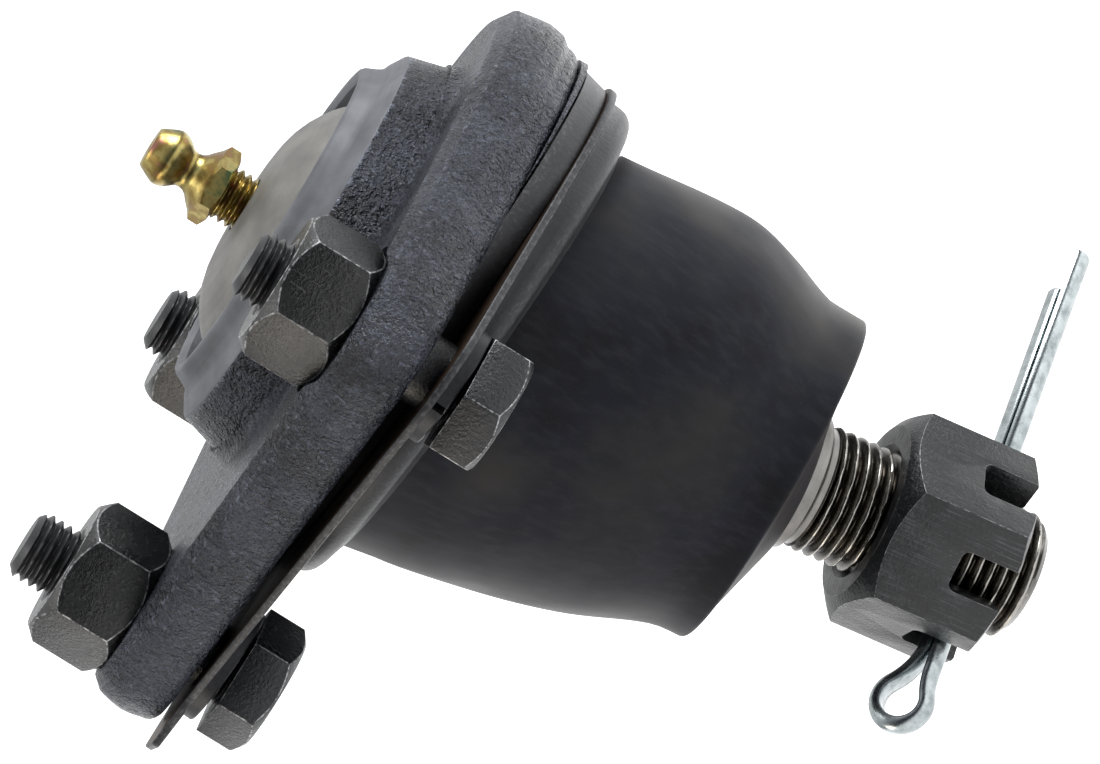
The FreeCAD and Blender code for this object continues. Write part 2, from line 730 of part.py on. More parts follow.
def make_lock_washer(name):
    x, y = BOLTS[name]
    turn = math.cos(math.radians(retainer_tilt_deg))
    ring = cylinder(washer_outer_radius, -washer_thickness, 0)
    ring = ring.cut(cylinder(washer_inner_radius, -washer_thickness - overlap, overlap))
    cutter = Part.makeBox(washer_outer_radius * 2, washer_split, 4 * washer_thickness,
                          Vector(0, -washer_split / 2, -2 * washer_thickness))
    cutter.rotate(Vector(0, 0, 0), Vector(1, 0, 0), washer_split_slant)
    ring = ring.cut(turned(cutter, WASHER_SPLIT_DEG[name]))
    ring.translate(Vector(x / turn, y, -retainer_thickness))
    ring.Placement = retainer_place.multiply(ring.Placement)
    return ring


def build():
    lower_bearing, upper_bearing = make_bearing_shells()
    check_ball, check_spring = make_check_valve()
    pieces = {
        "housing": make_housing(),
        "cover_plate": make_cover(),
        "preload_washer": make_preload_washer(),
        "upper_bearing": upper_bearing,
        "lower_bearing": lower_bearing,
        "ball_stud": make_ball_stud(),
        "castle_nut": make_castle_nut(),
        "cotter_pin": make_split_pin(),
        "grease_fitting": make_grease_fitting(),
        "grease_check_ball": check_ball,
        "grease_check_spring": check_spring,
        "boot_retainer_plate": make_retainer_plate(),
        "backing_ring": make_backing_ring(),
        "dust_boot": make_boot(),
        "boot_lip_ring": make_lip_ring(),
    }
    for name in BOLTS:
        pieces["flange_bolt_" + name] = make_bolt(name)
        pieces["flange_nut_" + name] = make_nut(name)
        pieces["lock_washer_" + name] = make_lock_washer(name)
    return pieces


os.makedirs("parts", exist_ok=True)
for name, shape in build().items():
    solids = shape.Solids
    if len(solids) != 1:
        print(name, "has", len(solids), "solids")
    solid = solids[0] if len(solids) == 1 else shape
    print(f"{name:22s} valid {solid.isValid()} volume {solid.Volume:10.1f}")
    solid.exportStep(os.path.join("parts", name + ".step"))
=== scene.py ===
import bpy
import math
from mathutils import Matrix, Vector


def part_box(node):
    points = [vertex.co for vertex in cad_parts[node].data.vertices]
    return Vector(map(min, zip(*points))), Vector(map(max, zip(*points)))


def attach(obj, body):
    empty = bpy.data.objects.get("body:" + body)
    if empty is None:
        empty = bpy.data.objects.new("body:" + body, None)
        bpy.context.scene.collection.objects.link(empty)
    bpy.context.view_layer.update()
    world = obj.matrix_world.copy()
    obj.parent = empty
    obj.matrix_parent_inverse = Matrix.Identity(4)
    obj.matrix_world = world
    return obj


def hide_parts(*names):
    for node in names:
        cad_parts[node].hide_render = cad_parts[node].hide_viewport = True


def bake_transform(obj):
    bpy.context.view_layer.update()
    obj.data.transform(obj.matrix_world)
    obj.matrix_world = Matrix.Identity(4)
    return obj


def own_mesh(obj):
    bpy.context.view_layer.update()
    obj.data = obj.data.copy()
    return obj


# A bolt-on suspension ball joint, seen from the side and a little above.
# Sizes in the dictionaries are millimetres, as in the CAD; mm turns them into Blender's metres.
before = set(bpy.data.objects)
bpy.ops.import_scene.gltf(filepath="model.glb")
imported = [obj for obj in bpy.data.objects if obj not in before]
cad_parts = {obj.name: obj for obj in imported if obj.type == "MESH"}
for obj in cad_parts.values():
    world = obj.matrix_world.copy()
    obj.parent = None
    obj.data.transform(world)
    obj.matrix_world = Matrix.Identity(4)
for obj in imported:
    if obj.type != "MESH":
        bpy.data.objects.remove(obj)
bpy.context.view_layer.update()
mm = 0.001
bpy.ops.object.select_all(action="DESELECT")
print("frame loaded:", len(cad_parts), "nodes")


# Mesh tools

def selectOnly(piece):
    bpy.ops.object.select_all(action="DESELECT")
    bpy.context.view_layer.objects.active = piece
    piece.select_set(True)


# A skin over stacked closed loops of points. caps: "ends" closes both ends, "wrap" joins the last loop to the
# first, "open" does neither. The per-loop numbers are kept on the points for the material to read: real wear
# on most pieces, and on the stud's thread the mask of a painted highlight on the crests and painted shade in
# the roots.
def skinLoops(name, loops, caps, materials, wear=None, place=None):
    count = len(loops[0])
    if caps == "wrap":
        loops = loops + [loops[0]]
        wear = wear + [wear[0]] if wear else None
    bpy.ops.mesh.primitive_circle_add(vertices=count, radius=1.0, location=(0, 0, 0))
    piece = bpy.context.object
    piece.name = piece.data.name = name
    bpy.ops.object.mode_set(mode="EDIT")
    bpy.ops.mesh.select_all(action="SELECT")
    for _ in loops[1:]:
        bpy.ops.mesh.extrude_edges_move(TRANSFORM_OT_translate={"value": (0, 0, 1)})
    bpy.ops.object.mode_set(mode="OBJECT")
    wearAndLightLevel = piece.data.attributes.new("wear", "FLOAT", "POINT")
    for v in piece.data.vertices:
        row = round(v.co.z)
        step = round((math.atan2(v.co.y, v.co.x) - math.pi / 2) / (2 * math.pi) * count) % count
        wearAndLightLevel.data[v.index].value = wear[row] if wear else 0.0
        point = Vector(loops[row][step]) * mm
        v.co = place @ point if place else point
    bpy.ops.object.mode_set(mode="EDIT")
    bpy.ops.mesh.select_all(action="SELECT")
    bpy.ops.mesh.remove_doubles(threshold=0.002 * mm)
    if caps == "ends":
        bpy.ops.mesh.select_all(action="DESELECT")
        bpy.ops.mesh.select_non_manifold(extend=False)
        bpy.ops.mesh.fill_holes(sides=0)
    bpy.ops.mesh.select_all(action="SELECT")
    bpy.ops.mesh.normals_make_consistent(inside=False)
    bpy.ops.object.mode_set(mode="OBJECT")
    for material in materials:
        piece.data.materials.append(material)
    return piece


def ringAt(radius, z, turn=0.0, count=96):
    angles = [math.radians(turn) + 2 * math.pi * i / count for i in range(count)]
    return [(radius * math.cos(angle), radius * math.sin(angle), z) for angle in angles]


def placed(loop, place):
    return [tuple((place @ (Vector(point) * mm)) / mm) for point in loop]


# A circle whose points lie in the same directions as an outline's.
def circleAlong(outline, radius, z):
    return [(radius * x / math.hypot(x, y), radius * y / math.hypot(x, y), z) for x, y, _ in outline]


# Rows of points up a V thread with a little flat on its crest, as a rolled one has; above chamfer it tapers.
threadDepth = 0.58


def threadRows(crest, pitch, low, high, steps, turn=0.0, count=96, chamfer=math.inf):
    rows = []
    for k in range(steps + 1):
        z = low + (high - low) * k / steps
        row = []
        for i in range(count):
            angle = math.radians(turn) + 2 * math.pi * i / count
            across = abs((z / pitch - angle / (2 * math.pi)) % 1.0 - 0.5) * 2
            r = crest - threadDepth * pitch * min(max((across - 0.14) / 0.74, 0.0), 1.0)
            r = min(r, crest - max(0.0, z - chamfer))
            row.append((r * math.cos(angle), r * math.sin(angle), z))
        rows.append(row)
    return rows


# Rounds over the sharp edges; the new faces take the worn edge material in the second slot.
def softenEdges(piece, width, angle):
    bevel = piece.modifiers.new("worn edges", "BEVEL")
    bevel.width = width * mm
    bevel.segments = 2
    bevel.limit_method = "ANGLE"
    bevel.angle_limit = math.radians(angle)
    bevel.material = 1
    useModifiers(piece)


def useModifiers(piece):
    selectOnly(piece)
    for modifier in list(piece.modifiers):
        bpy.ops.object.modifier_apply(modifier=modifier.name)


def smoothByAngle(piece, degrees):
    selectOnly(piece)
    bpy.ops.object.shade_smooth_by_angle(angle=math.radians(degrees))
    piece.select_set(False)


def cutAway(piece, cutter):
    cut = piece.modifiers.new("cut", "BOOLEAN")
    cut.operation = "DIFFERENCE"
    cut.solver = "EXACT"
    cut.object = cutter
    useModifiers(piece)
    bpy.data.objects.remove(cutter)


# Materials

def linear(colour):
    parts = [int(colour[i:i + 2], 16) / 255 for i in (1, 3, 5)]
    return [p / 12.92 if p <= 0.04045 else ((p + 0.055) / 1.055) ** 2.4 for p in parts] + [1.0]


# Sets a node's inputs and properties: a socket is joined to the input, text for an input is an sRGB colour,
# and a ramp's stops are positions, each with such a colour or a grey.
def setNode(tree, node, settings):
    for key, value in settings.items():
        if key == "stops":
            elements = node.color_ramp.elements
            while len(elements) < len(value):
                elements.new(1.0)
            for element, (position, colour) in zip(elements, value):
                element.position = position
                element.color = linear(colour) if isinstance(colour, str) else (colour, colour, colour, 1.0)
        elif isinstance(value, bpy.types.NodeSocket):
            tree.links.new(value, node.inputs[key])
        elif isinstance(key, int) or key in node.inputs:
            node.inputs[key].default_value = linear(value) if isinstance(value, str) else value
        else:
            setattr(node, key, value)


def addNode(tree, kind, settings, output=0):
    node = tree.nodes.new("ShaderNode" + kind)
    setNode(tree, node, settings)
    return node.outputs[output]


# Noise with grains of a size in mm, drawn out or squeezed along an axis where stretch is given.
def grainOf(tree, coords, size, detail, rough, stretch=None):
    if stretch:
        coords = addNode(tree, "Mapping", {"Vector": coords, "Scale": stretch})
    return addNode(tree, "TexNoise", {"Vector": coords, "Scale": 1 / (size * mm), "Detail": detail,
                                      "Roughness": rough})


# Patterns read through their stops, where they have any, and multiplied together.
def through(tree, *patterns):
    result = None
    for pattern, stops in patterns:
        if stops:
            pattern = addNode(tree, "ValToRGB", {"Fac": pattern, "stops": stops})
        if result:
            pattern = addNode(tree, "Math", {"operation": "MULTIPLY", 0: result, 1: pattern})
        result = pattern
    return result


# Colours laid over a base one after another, each where its pattern is high.
def layered(tree, base, layers):
    for pattern, stops, colour in layers:
        mask = through(tree, (pattern, stops))
        base = addNode(tree, "Mix", {"data_type": "RGBA", 0: mask, 6: base, 7: colour}, 2)
    return base


# Bumps laid over one another, each a height, its depth in mm and its strength.
def relief(tree, layers):
    below = {}
    for height, depth, strength in layers:
        settings = {"Height": height, "Distance": depth * mm, "Strength": strength}
        below = {"Normal": addNode(tree, "Bump", {**settings, **below})}
    return below["Normal"]


# Patterns use Object coordinates, or those of a placed piece, so that they follow its axis.
def newMaterial(name, place=None):
    material = bpy.data.materials.new(name)
    material.use_nodes = True
    tree = material.node_tree
    coords = addNode(tree, "TexCoord", {}, "Object")
    if place:
        coords = addNode(tree, "Mapping", {"vector_type": "TEXTURE", "Vector": coords,
                                           "Location": place.to_translation(), "Rotation": place.to_euler()})
    return material, tree, tree.nodes["Principled BSDF"], coords


# Drop forging under a thin black coat: blue-charcoal, pebbly where scale was pressed in, lighter and grainy
# where handling rubbed the bevels. The sides carry fine draw marks that run across the flange's thickness.
def forgedBlack():
    material, tree, shader, coords = newMaterial("forged_steel_black_coat")
    lumps = grainOf(tree, coords, 3.2, 2.0, 0.45)
    pebble = through(tree, (grainOf(tree, coords, 0.95, 3.0, 0.55), [(0.38, 0.0), (0.62, 1.0)]))
    grit = through(tree, (grainOf(tree, coords, 0.4, 2.0, 0.6), [(0.36, 0.0), (0.64, 1.0)]))
    marks = through(tree, (grainOf(tree, coords, 0.5, 3.0, 0.6, (1, 1, 0.4)), [(0.36, 0.0), (0.64, 1.0)]))
    patches = grainOf(tree, coords, 9.0, 3.0, 0.5)
    tone = through(tree, (patches, [(0.36, "#060a18"), (0.5, "#151a29"), (0.64, "#2b2f3b")]))
    wear = addNode(tree, "Attribute", {"attribute_name": "wear"}, "Fac")
    pebbleShare = addNode(tree, "Math", {"operation": "MULTIPLY", 0: pebble, 1: 0.4})
    wearAndLightLevel = addNode(tree, "Math", {"operation": "ADD", 0: wear, 1: pebbleShare})
    rubbed = through(tree, (wearAndLightLevel, [(0.66, 0.0), (1.0, 0.8)]), (grit, [(0.2, 0.15), (0.8, 1.0)]))
    pebbleHigh = through(tree, (pebble, None), (patches, [(0.4, 1.0), (0.62, 0.35)]))
    setNode(tree, shader, {
        "Base Color": layered(tree, tone, [(grit, [(0.0, 0.8), (0.4, 0.0)], "#040506"),
                                           (marks, [(0.7, 0.0), (1.0, 0.5)], "#4c5260"),
                                           (rubbed, None, "#747a88")]),
        "Metallic": 0.3, "Specular IOR Level": 0.6,
        "Roughness": through(tree, (pebble, [(0.0, 0.25), (1.0, 0.36)]),
                             (patches, [(0.4, 0.8), (0.62, 1.0)])),
        "Normal": relief(tree, [(lumps, 0.9, 0.9), (pebbleHigh, 0.4, 1.0), (marks, 0.12, 0.9),
                                (grit, 0.2, 1.0)]),
    })
    return material


# Turned steel without a coat: mid grey, with the fine rings that a lathe leaves.
def turnedSteel(name, light, dark, rough, ring, metallic, place=None):
    material, tree, shader, coords = newMaterial(name, place)
    rings = grainOf(tree, coords, ring, 3.0, 0.6, (0.02, 0.02, 1))
    stain = grainOf(tree, coords, 4.0, 2.0, 0.5)
    fine = grainOf(tree, coords, 0.4, 3.0, 0.6)
    tone = through(tree, (stain, [(0.25, dark), (0.75, light)]))
    setNode(tree, shader, {
        "Base Color": layered(tree, tone, [(fine, [(0.5, 0.0), (0.75, 0.3)], dark)]), "Metallic": metallic,
        "Roughness": through(tree, (rings, [(0.3, rough - 0.05), (0.7, rough + 0.07)])),
        "Normal": relief(tree, [(rings, 0.04, 0.6), (fine, 0.02, 0.5)]),
    })
    return material


# Threads as rolled: the crest colour laid over the root colour by the number kept on each point, broken up by
# blotches. Where that number follows the thread's depth, as on the stud, the light crests are a painted
# highlight and the dark roots are painted shade.
def threadSteel(name, crest, root, rough, metallic):
    material, tree, shader, coords = newMaterial(name)
    blotch = grainOf(tree, coords, 0.8, 4.0, 0.6)
    wear = addNode(tree, "Attribute", {"attribute_name": "wear"}, "Fac")
    # painted highlight on the crests, painted shade in the roots
    crestLight = through(tree, (wear, None), (blotch, [(0.25, 0.55), (0.6, 1.0)]))
    setNode(tree, shader, {"Base Color": layered(tree, root, [(crestLight, None, crest)]), "Metallic": metallic,
                           "Roughness": rough, "Normal": relief(tree, [(blotch, 0.02, 0.5)])})
    return material


# Black oxide on cold-headed steel: near black with a blue or brown cast, fine specks, a few thin scratches.
def blackOxide(name, tone, scuff, rough, place=None, streak=(1, 1, 0.08), drawn=0.6):
    material, tree, shader, coords = newMaterial(name, place)
    streaks = grainOf(tree, coords, 0.22, 3.0, 0.7, streak)
    speckle = grainOf(tree, coords, 0.4, 3.0, 0.7)
    patches = grainOf(tree, coords, 3.5, 3.0, 0.55)
    scratches = through(tree, (streaks, [(drawn, 0.0), (drawn + 0.16, 0.6)]),
                        (patches, [(0.4, 0.0), (0.65, 1.0)]))
    setNode(tree, shader, {
        "Base Color": layered(tree, tone, [(scratches, None, scuff),
                                           (speckle, [(0.6, 0.0), (0.76, 0.5)], scuff)]),
        "Metallic": 0.25, "Specular IOR Level": 0.6,
        "Roughness": through(tree, (patches, [(0.3, rough + 0.06), (0.7, rough - 0.05)])),
        "Normal": relief(tree, [(streaks, 0.02, 0.5), (patches, 0.25, 0.5), (speckle, 0.13, 0.8)]),
    })
    return material


# The same oxide thinned where an edge was knocked: broken, light only here and there.
def wornEdge():
    material, tree, shader, coords = newMaterial("worn_oxide_edge")
    chips = grainOf(tree, coords, 0.8, 4.0, 0.75)
    setNode(tree, shader, {"Base Color": through(tree, (chips, [(0.42, "#222325"), (0.62, "#a2a3a5")])),
                           "Metallic": 0.4, "Roughness": 0.38})
    return material


# Moulded chloroprene: blue-black, satin, with a thin grey bloom and dust caught by the light at the sides.
def mouldedRubber():
    material, tree, shader, coords = newMaterial("moulded_rubber")
    cloud = grainOf(tree, coords, 16.0, 3.0, 0.5)
    wipe = grainOf(tree, coords, 1.1, 3.0, 0.6, (1, 1, 0.25))
    dust = grainOf(tree, coords, 0.22, 2.0, 0.6)
    tone = through(tree, (cloud, [(0.36, "#020309"), (0.47, "#080a16"), (0.57, "#131419"), (0.7, "#22201f")]))
    setNode(tree, shader, {
        "Base Color": layered(tree, tone, [(wipe, [(0.45, 0.0), (0.7, 0.35)], "#23242a"),
                                           (dust, [(0.66, 0.0), (0.8, 0.3)], "#43454c")]),
        "Roughness": through(tree, (cloud, [(0.36, 0.56), (0.66, 0.42)])), "Specular IOR Level": 0.14,
        "Sheen Weight": 0.08, "Sheen Roughness": 0.3, "Sheen Tint": "#c9beae",
        "Normal": relief(tree, [(dust, 0.012, 0.5)]),
    })
    return material


# Yellow chromate over zinc: brass-gold with pink and green where the film thickens.
def yellowZinc():
    material, tree, shader, coords = newMaterial("yellow_chromate_zinc")
    film = grainOf(tree, coords, 2.6, 3.0, 0.6)
    fine = grainOf(tree, coords, 0.12, 2.0, 0.6, (0.05, 0.05, 1))
    tone = through(tree, (film, [(0.3, "#66754f"), (0.42, "#a3945c"), (0.55, "#7d6a38"), (0.68, "#8c6354")]))
    setNode(tree, shader, {"Base Color": tone, "Metallic": 1.0, "Roughness": 0.3,
                           "Normal": relief(tree, [(fine, 0.012, 0.4)])})
    return material


# Clear zinc on mild wire: bright and cool, a little cloudy, scratched where it was drawn.
def brightZinc():
    material, tree, shader, coords = newMaterial("bright_zinc_wire")
    cloud = grainOf(tree, coords, 1.4, 4.0, 0.65)
    setNode(tree, shader, {"Base Color": through(tree, (cloud, [(0.3, "#81898b"), (0.6, "#adb4b6")])),
                           "Metallic": 1.0, "Roughness": through(tree, (cloud, [(0.3, 0.3), (0.7, 0.18)])),
                           "Normal": relief(tree, [(cloud, 0.03, 0.35)])})
    return material


# Stamped sheet with a dull coat; the sheared edge shows fine lines across it and sparkles of bright burr.
def pressedSteel(name, dark, light, burr):
    material, tree, shader, coords = newMaterial(name)
    shear = grainOf(tree, coords, 0.4, 3.0, 0.6, (1, 1, 0.05))
    grain = grainOf(tree, coords, 0.5, 4.0, 0.65)
    patches = grainOf(tree, coords, 5.0, 3.0, 0.55)
    tone = through(tree, (patches, [(0.3, dark), (0.65, light)]))
    wear = addNode(tree, "Attribute", {"attribute_name": "wear"}, "Fac")
    edge = through(tree, (wear, None), (grain, [(0.5, 0.15), (0.62, 1.0)]))
    setNode(tree, shader, {
        "Base Color": layered(tree, tone, [(edge, None, burr)]), "Metallic": 0.4, "Specular IOR Level": 0.4,
        "Roughness": through(tree, (grain, [(0.3, 0.36), (0.7, 0.52)])),
        "Normal": relief(tree, [(shear, 0.05, 0.4), (grain, 0.08, 0.6)]),
    })
    return material


# A plain technical finish for the parts inside, still with grain of its own.
def innerFinish(name, light, dark, metallic, rough, grain):
    material, tree, shader, coords = newMaterial(name)
    speckle = grainOf(tree, coords, grain, 3.0, 0.6)
    setNode(tree, shader, {"Base Color": through(tree, (speckle, [(0.3, dark), (0.7, light)])),
                           "Metallic": metallic, "Roughness": rough,
                           "Normal": relief(tree, [(speckle, 0.02, 0.4)])})
    return material


# Where the leaning stud and the tilted retainer stand

bootRound = 160
stance = {"ballZ": -10.8, "lean": 12.3, "leanTowards": 221.9, "pinTowards": 193.0,
          "retainerTilt": 3.75, "retainerAtBolt": -9.45, "longBolt": 43.5, "sideX": 10.2, "sideY": 36.5}
leanTowards = math.radians(stance["leanTowards"])
studTowards = Vector((math.cos(leanTowards), math.sin(leanTowards), 0))
leanAxis = Vector((0, 0, -1)).cross(studTowards)
studPlace = (Matrix.Translation((0, 0, stance["ballZ"] * mm))
             @ Matrix.Rotation(math.radians(stance["lean"]), 4, leanAxis)
             @ Matrix.Rotation(math.radians(stance["pinTowards"]), 4, "Z"))
retainerTilt = math.radians(stance["retainerTilt"])
retainerZ = stance["retainerAtBolt"] - stance["longBolt"] * math.tan(retainerTilt)
retainerPlace = Matrix.Translation((0, 0, retainerZ * mm)) @ Matrix.Rotation(-retainerTilt, 4, "Y")
bolts = {"front": (stance["longBolt"], 0.0), "left": (stance["sideX"], stance["sideY"]),
         "right": (stance["sideX"], -stance["sideY"])}

forged = forgedBlack()
machined = turnedSteel("turned_steel_rim", "#65676c", "#4a4c50", 0.6, 0.3, 0.3)
domeSteel = turnedSteel("satin_steel_dome", "#7c7b77", "#61605f", 0.5, 0.5, 0.6)
groundSteel = turnedSteel("ground_steel_stud", "#8b8987", "#5d5b58", 0.3, 0.3, 0.85, studPlace)
# The stud thread's crest colour is its painted highlight and its root colour its painted shade.
studThread = threadSteel("rolled_thread_steel", "#a5a29c", "#35312c", 0.27, 1.0)
boltThread = threadSteel("black_oxide_thread", "#4a4b4d", "#101012", 0.4, 0.6)
nutOxide = blackOxide("black_oxide_nut", "#0f1010", "#6a6a6a", 0.26)
headOxide = blackOxide("black_oxide_bolt", "#0d0f14", "#484b53", 0.28)
castleOxide = blackOxide("black_oxide_castle_nut", "#0b0d10", "#4e5054", 0.32, studPlace, (1, 1, 0.04), 0.5)
edgeSteel = wornEdge()
rubber = mouldedRubber()
goldZinc = yellowZinc()
wireZinc = brightZinc()
sheet = pressedSteel("coated_pressed_steel", "#1a1b1e", "#27282b", "#58585a")
rustedSheet = pressedSteel("pressed_steel_stained", "#2c211a", "#4b3a2d", "#6b5646")
springSteel = innerFinish("blued_spring_steel", "#2b2c2f", "#1c1d1f", 0.6, 0.42, 0.4)
bearingFinish = innerFinish("sintered_bearing_bronze", "#8a7350", "#6c5838", 0.7, 0.5, 0.3)
lipFinish = innerFinish("filled_nylon_ring", "#26262a", "#1a1a1d", 0.0, 0.5, 0.6)
print("materials made")


# Housing: forged flange and boss, machined rim, neck

housingSize = {
    "lobe": 9.99, "roundEnd": 33.9, "thickness": 8.35, "slope": 1.3,
    "bevel": 2.0, "lobeBevel": 1.0, "bevelShare": 0.14, "draft": 0.7, "widest": 0.52, "lowRound": 1.6,
    "boss": 24.5, "fillet": 1.6, "neck": 21.4, "neckBottom": -19.4, "mouth": 13.5, "bore": 19.0,
    "shoulder": 22.98, "shoulderZ": 5.6, "coverSeat": 4.9, "recess": 20.3, "recessTop": 7.0,
    "spotFace": 9.0, "spotDepth": {"left": 0.9},
}


# Points round the tangent hull of circles (x, y, radius), the same count whatever their radii.
def hullPoints(circles, arcSteps, lineStep):
    normals = []
    for (x1, y1, r1), (x2, y2, r2) in zip(circles, circles[1:] + circles[:1]):
        length = math.hypot(x2 - x1, y2 - y1)
        normals.append(math.atan2(y2 - y1, x2 - x1) - math.acos((r1 - r2) / length))
    points = []
    for i, (x, y, r) in enumerate(circles):
        start, end = normals[i - 1], normals[i]
        while end < start:
            end += 2 * math.pi
        for k in range(arcSteps[i]):
            a = start + (end - start) * k / (arcSteps[i] - 1)
            points.append((x + r * math.cos(a), y + r * math.sin(a)))
        x2, y2, r2 = circles[(i + 1) % len(circles)]
        here, there = points[-1], (x2 + r2 * math.cos(normals[i]), y2 + r2 * math.sin(normals[i]))
        for k in range(1, lineStep):
            t = k / lineStep
            points.append((here[0] + (there[0] - here[0]) * t, here[1] + (there[1] - here[1]) * t))
    return points


def flangeLoop(share, endShrink, lobeShrink, lift=0.0):
    s = housingSize
    lobe = s["lobe"] - lobeShrink
    circles = [(*bolts["front"], lobe), (*bolts["left"], lobe), (0.0, 0.0, s["roundEnd"] - endShrink),
               (*bolts["right"], lobe)]
    loop = []
    for x, y in hullPoints(circles, (44, 30, 110, 30), 46):
        under = -s["thickness"] - (stance["longBolt"] - x) * math.tan(math.radians(s["slope"]))
        loop.append((x, y, share * under + lift))
    return loop


def inlineLoop(radius, z):
    return circleAlong(flangeLoop(0.0, 0.0, 0.0), radius, z)


def makeHousing():
    s = housingSize
    loops, wear = [], []

    def add(loop, wearAndLightLevel=0.0):
        loops.append(loop)
        wear.append(wearAndLightLevel)

    rim = [(17.7, 7.0), (17.7, 8.9), (17.85, 9.05), (18.2, 9.35), (18.7, 9.55), (19.1, 9.45), (19.4, 9.15),
           (19.65, 8.65), (19.95, 8.0), (20.3, 7.45), (20.7, 7.2), (21.2, 7.0), (22.2, 6.4), (22.7, 6.1)]
    for radius, z in rim:
        add(inlineLoop(radius, z))
    add(inlineLoop(22.9, 5.9), 0.8)
    add(inlineLoop(s["shoulder"], s["shoulderZ"]), 0.5)
    for share in (0.15, 0.3, 0.45, 0.6, 0.75):
        add(inlineLoop(s["shoulder"] + (s["boss"] - s["shoulder"]) * share, s["shoulderZ"] * (1 - share)))
    for k in range(5):
        turn = math.radians(75) * k / 4
        add(inlineLoop(s["boss"] + s["fillet"] * (1 - math.cos(turn)), s["fillet"] * (1 - math.sin(turn))))
    add(inlineLoop(s["boss"] + s["fillet"] + 0.6, 0.0))
    draft, bevel, lobeBevel = s["draft"], s["bevel"], s["lobeBevel"]
    add(flangeLoop(0.0, draft + bevel + 0.5, draft + lobeBevel + 0.4), 0.3)
    add(flangeLoop(0.0, draft + bevel, draft + lobeBevel, -0.03), 0.5)
    for k in (0.3, 0.65):
        add(flangeLoop(s["bevelShare"] * k, draft + bevel * (1 - k), draft + lobeBevel * (1 - k)), 0.25)
    add(flangeLoop(s["bevelShare"] * 0.92, draft + 0.1, draft + 0.1), 0.55)
    add(flangeLoop(s["bevelShare"] * 1.12, draft - 0.12, draft - 0.12), 0.2)
    for k in (0.25, 0.33, s["widest"] - 0.1, s["widest"], s["widest"] + 0.1, 0.7):
        lean = abs(k - s["widest"]) / (1 - s["widest"])
        add(flangeLoop(k, draft * 1.3 * lean ** 1.3, draft * lean ** 1.3))
    for k in range(6):
        turn = math.radians(90) * k / 5
        inward = s["lowRound"] * (1 - math.cos(turn))
        share = 1 - s["lowRound"] * (1 - math.sin(turn)) / s["thickness"]
        add(flangeLoop(share, draft * 1.6 + inward, draft * 0.6 + inward), 0.15)
    tilt = math.tan(math.radians(s["slope"]))
    under = -s["thickness"] - stance["longBolt"] * tilt
    add([(x, y, under + x * tilt) for x, y, _ in inlineLoop(32.3, 0.0)])
    for radius in (32.2, s["neck"] + 0.1):
        add(placed(inlineLoop(radius, 3.5), retainerPlace))
    mouth, bottom = s["mouth"], s["neckBottom"]
    for radius, z in ((s["neck"], bottom + 1.0), (s["neck"] - 1.0, bottom), (mouth + 1.9, bottom),
                      (mouth, bottom + 1.2), (mouth, bottom + 2.2), (s["bore"], bottom + 2.2),
                      (s["bore"], s["coverSeat"]), (s["recess"], s["coverSeat"]),
                      (s["recess"], s["recessTop"])):
        add(inlineLoop(radius, z))
    housing = skinLoops("housing_forging", loops, "wrap", [forged, machined], wear)
    for face in housing.data.polygons:
        centre = face.center / mm
        if centre.z > 5.95 and math.hypot(centre.x, centre.y) < 22.9:
            face.material_index = 1
    for side, deep in s["spotDepth"].items():
        x, y = bolts[side]
        bpy.ops.mesh.primitive_cylinder_add(vertices=72, radius=s["spotFace"] * mm, depth=2 * mm,
                                            location=(x * mm, y * mm, (1 - deep) * mm))
        tool = bpy.context.object
        bpy.ops.object.transform_apply(location=True)
        cutAway(housing, tool)
    smoothByAngle(housing, 40)
    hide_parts("housing")
    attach(housing, "housing_group")


makeHousing()
print("housing made")


# Cover: a turned dome with a flat top round the grease fitting

def makeCover():
    profile = [(3.2, 12.5), (3.6, 12.55), (5.0, 12.55), (6.6, 12.47), (8.2, 12.24), (9.8, 11.82),
               (11.3, 11.2), (12.7, 10.4), (13.8, 9.6), (14.6, 8.9), (15.2, 8.15), (15.7, 7.6), (16.4, 7.32),
               (17.5, 7.28), (20.25, 7.28), (20.25, 4.95), (14.0, 4.95), (12.9, 7.4), (10.3, 9.0),
               (5.0, 10.25), (3.2, 10.25)]
    cover = skinLoops("domed_cover", [ringAt(r, z, 0, 144) for r, z in profile], "wrap", [domeSteel])
    smoothByAngle(cover, 38)
    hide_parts("cover_plate")
    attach(cover, "housing_group")


makeCover()


# Hexagons: nuts, bolt heads and the fitting's hexagon share one way of turning off the corners

# top and low are each a face's radius and how far the corners fall away from it.
def hexLoops(flats, turn, base, high, top, low, count=96):
    corner = flats / math.sqrt(3)
    loops = {"top": [], "topArc": [], "lowArc": [], "low": []}
    for i in range(count):
        angle = math.radians(turn) + 2 * math.pi * i / count
        offFlat = (math.degrees(angle) - turn + 30) % 60 - 30
        r = flats / 2 / math.cos(math.radians(offFlat))
        x, y = math.cos(angle), math.sin(angle)
        topFall = top[1] * (r - top[0]) / (corner - top[0])
        lowRise = low[1] * (r - low[0]) / (corner - low[0])
        loops["top"].append((top[0] * x, top[0] * y, high))
        loops["topArc"].append((r * x, r * y, high - max(topFall, 0.0)))
        loops["lowArc"].append((r * x, r * y, base + max(lowRise, 0.0)))
        loops["low"].append((low[0] * x, low[0] * y, base))
    return loops


nutSize = {"acrossFlats": 15.2, "height": 9.2, "bore": 4.0, "corner": 1.5,
           "turn": {"front": 81.6, "left": 92.0, "right": 100.0},
           "seat": {"front": -0.1, "left": -0.9, "right": -0.1}}


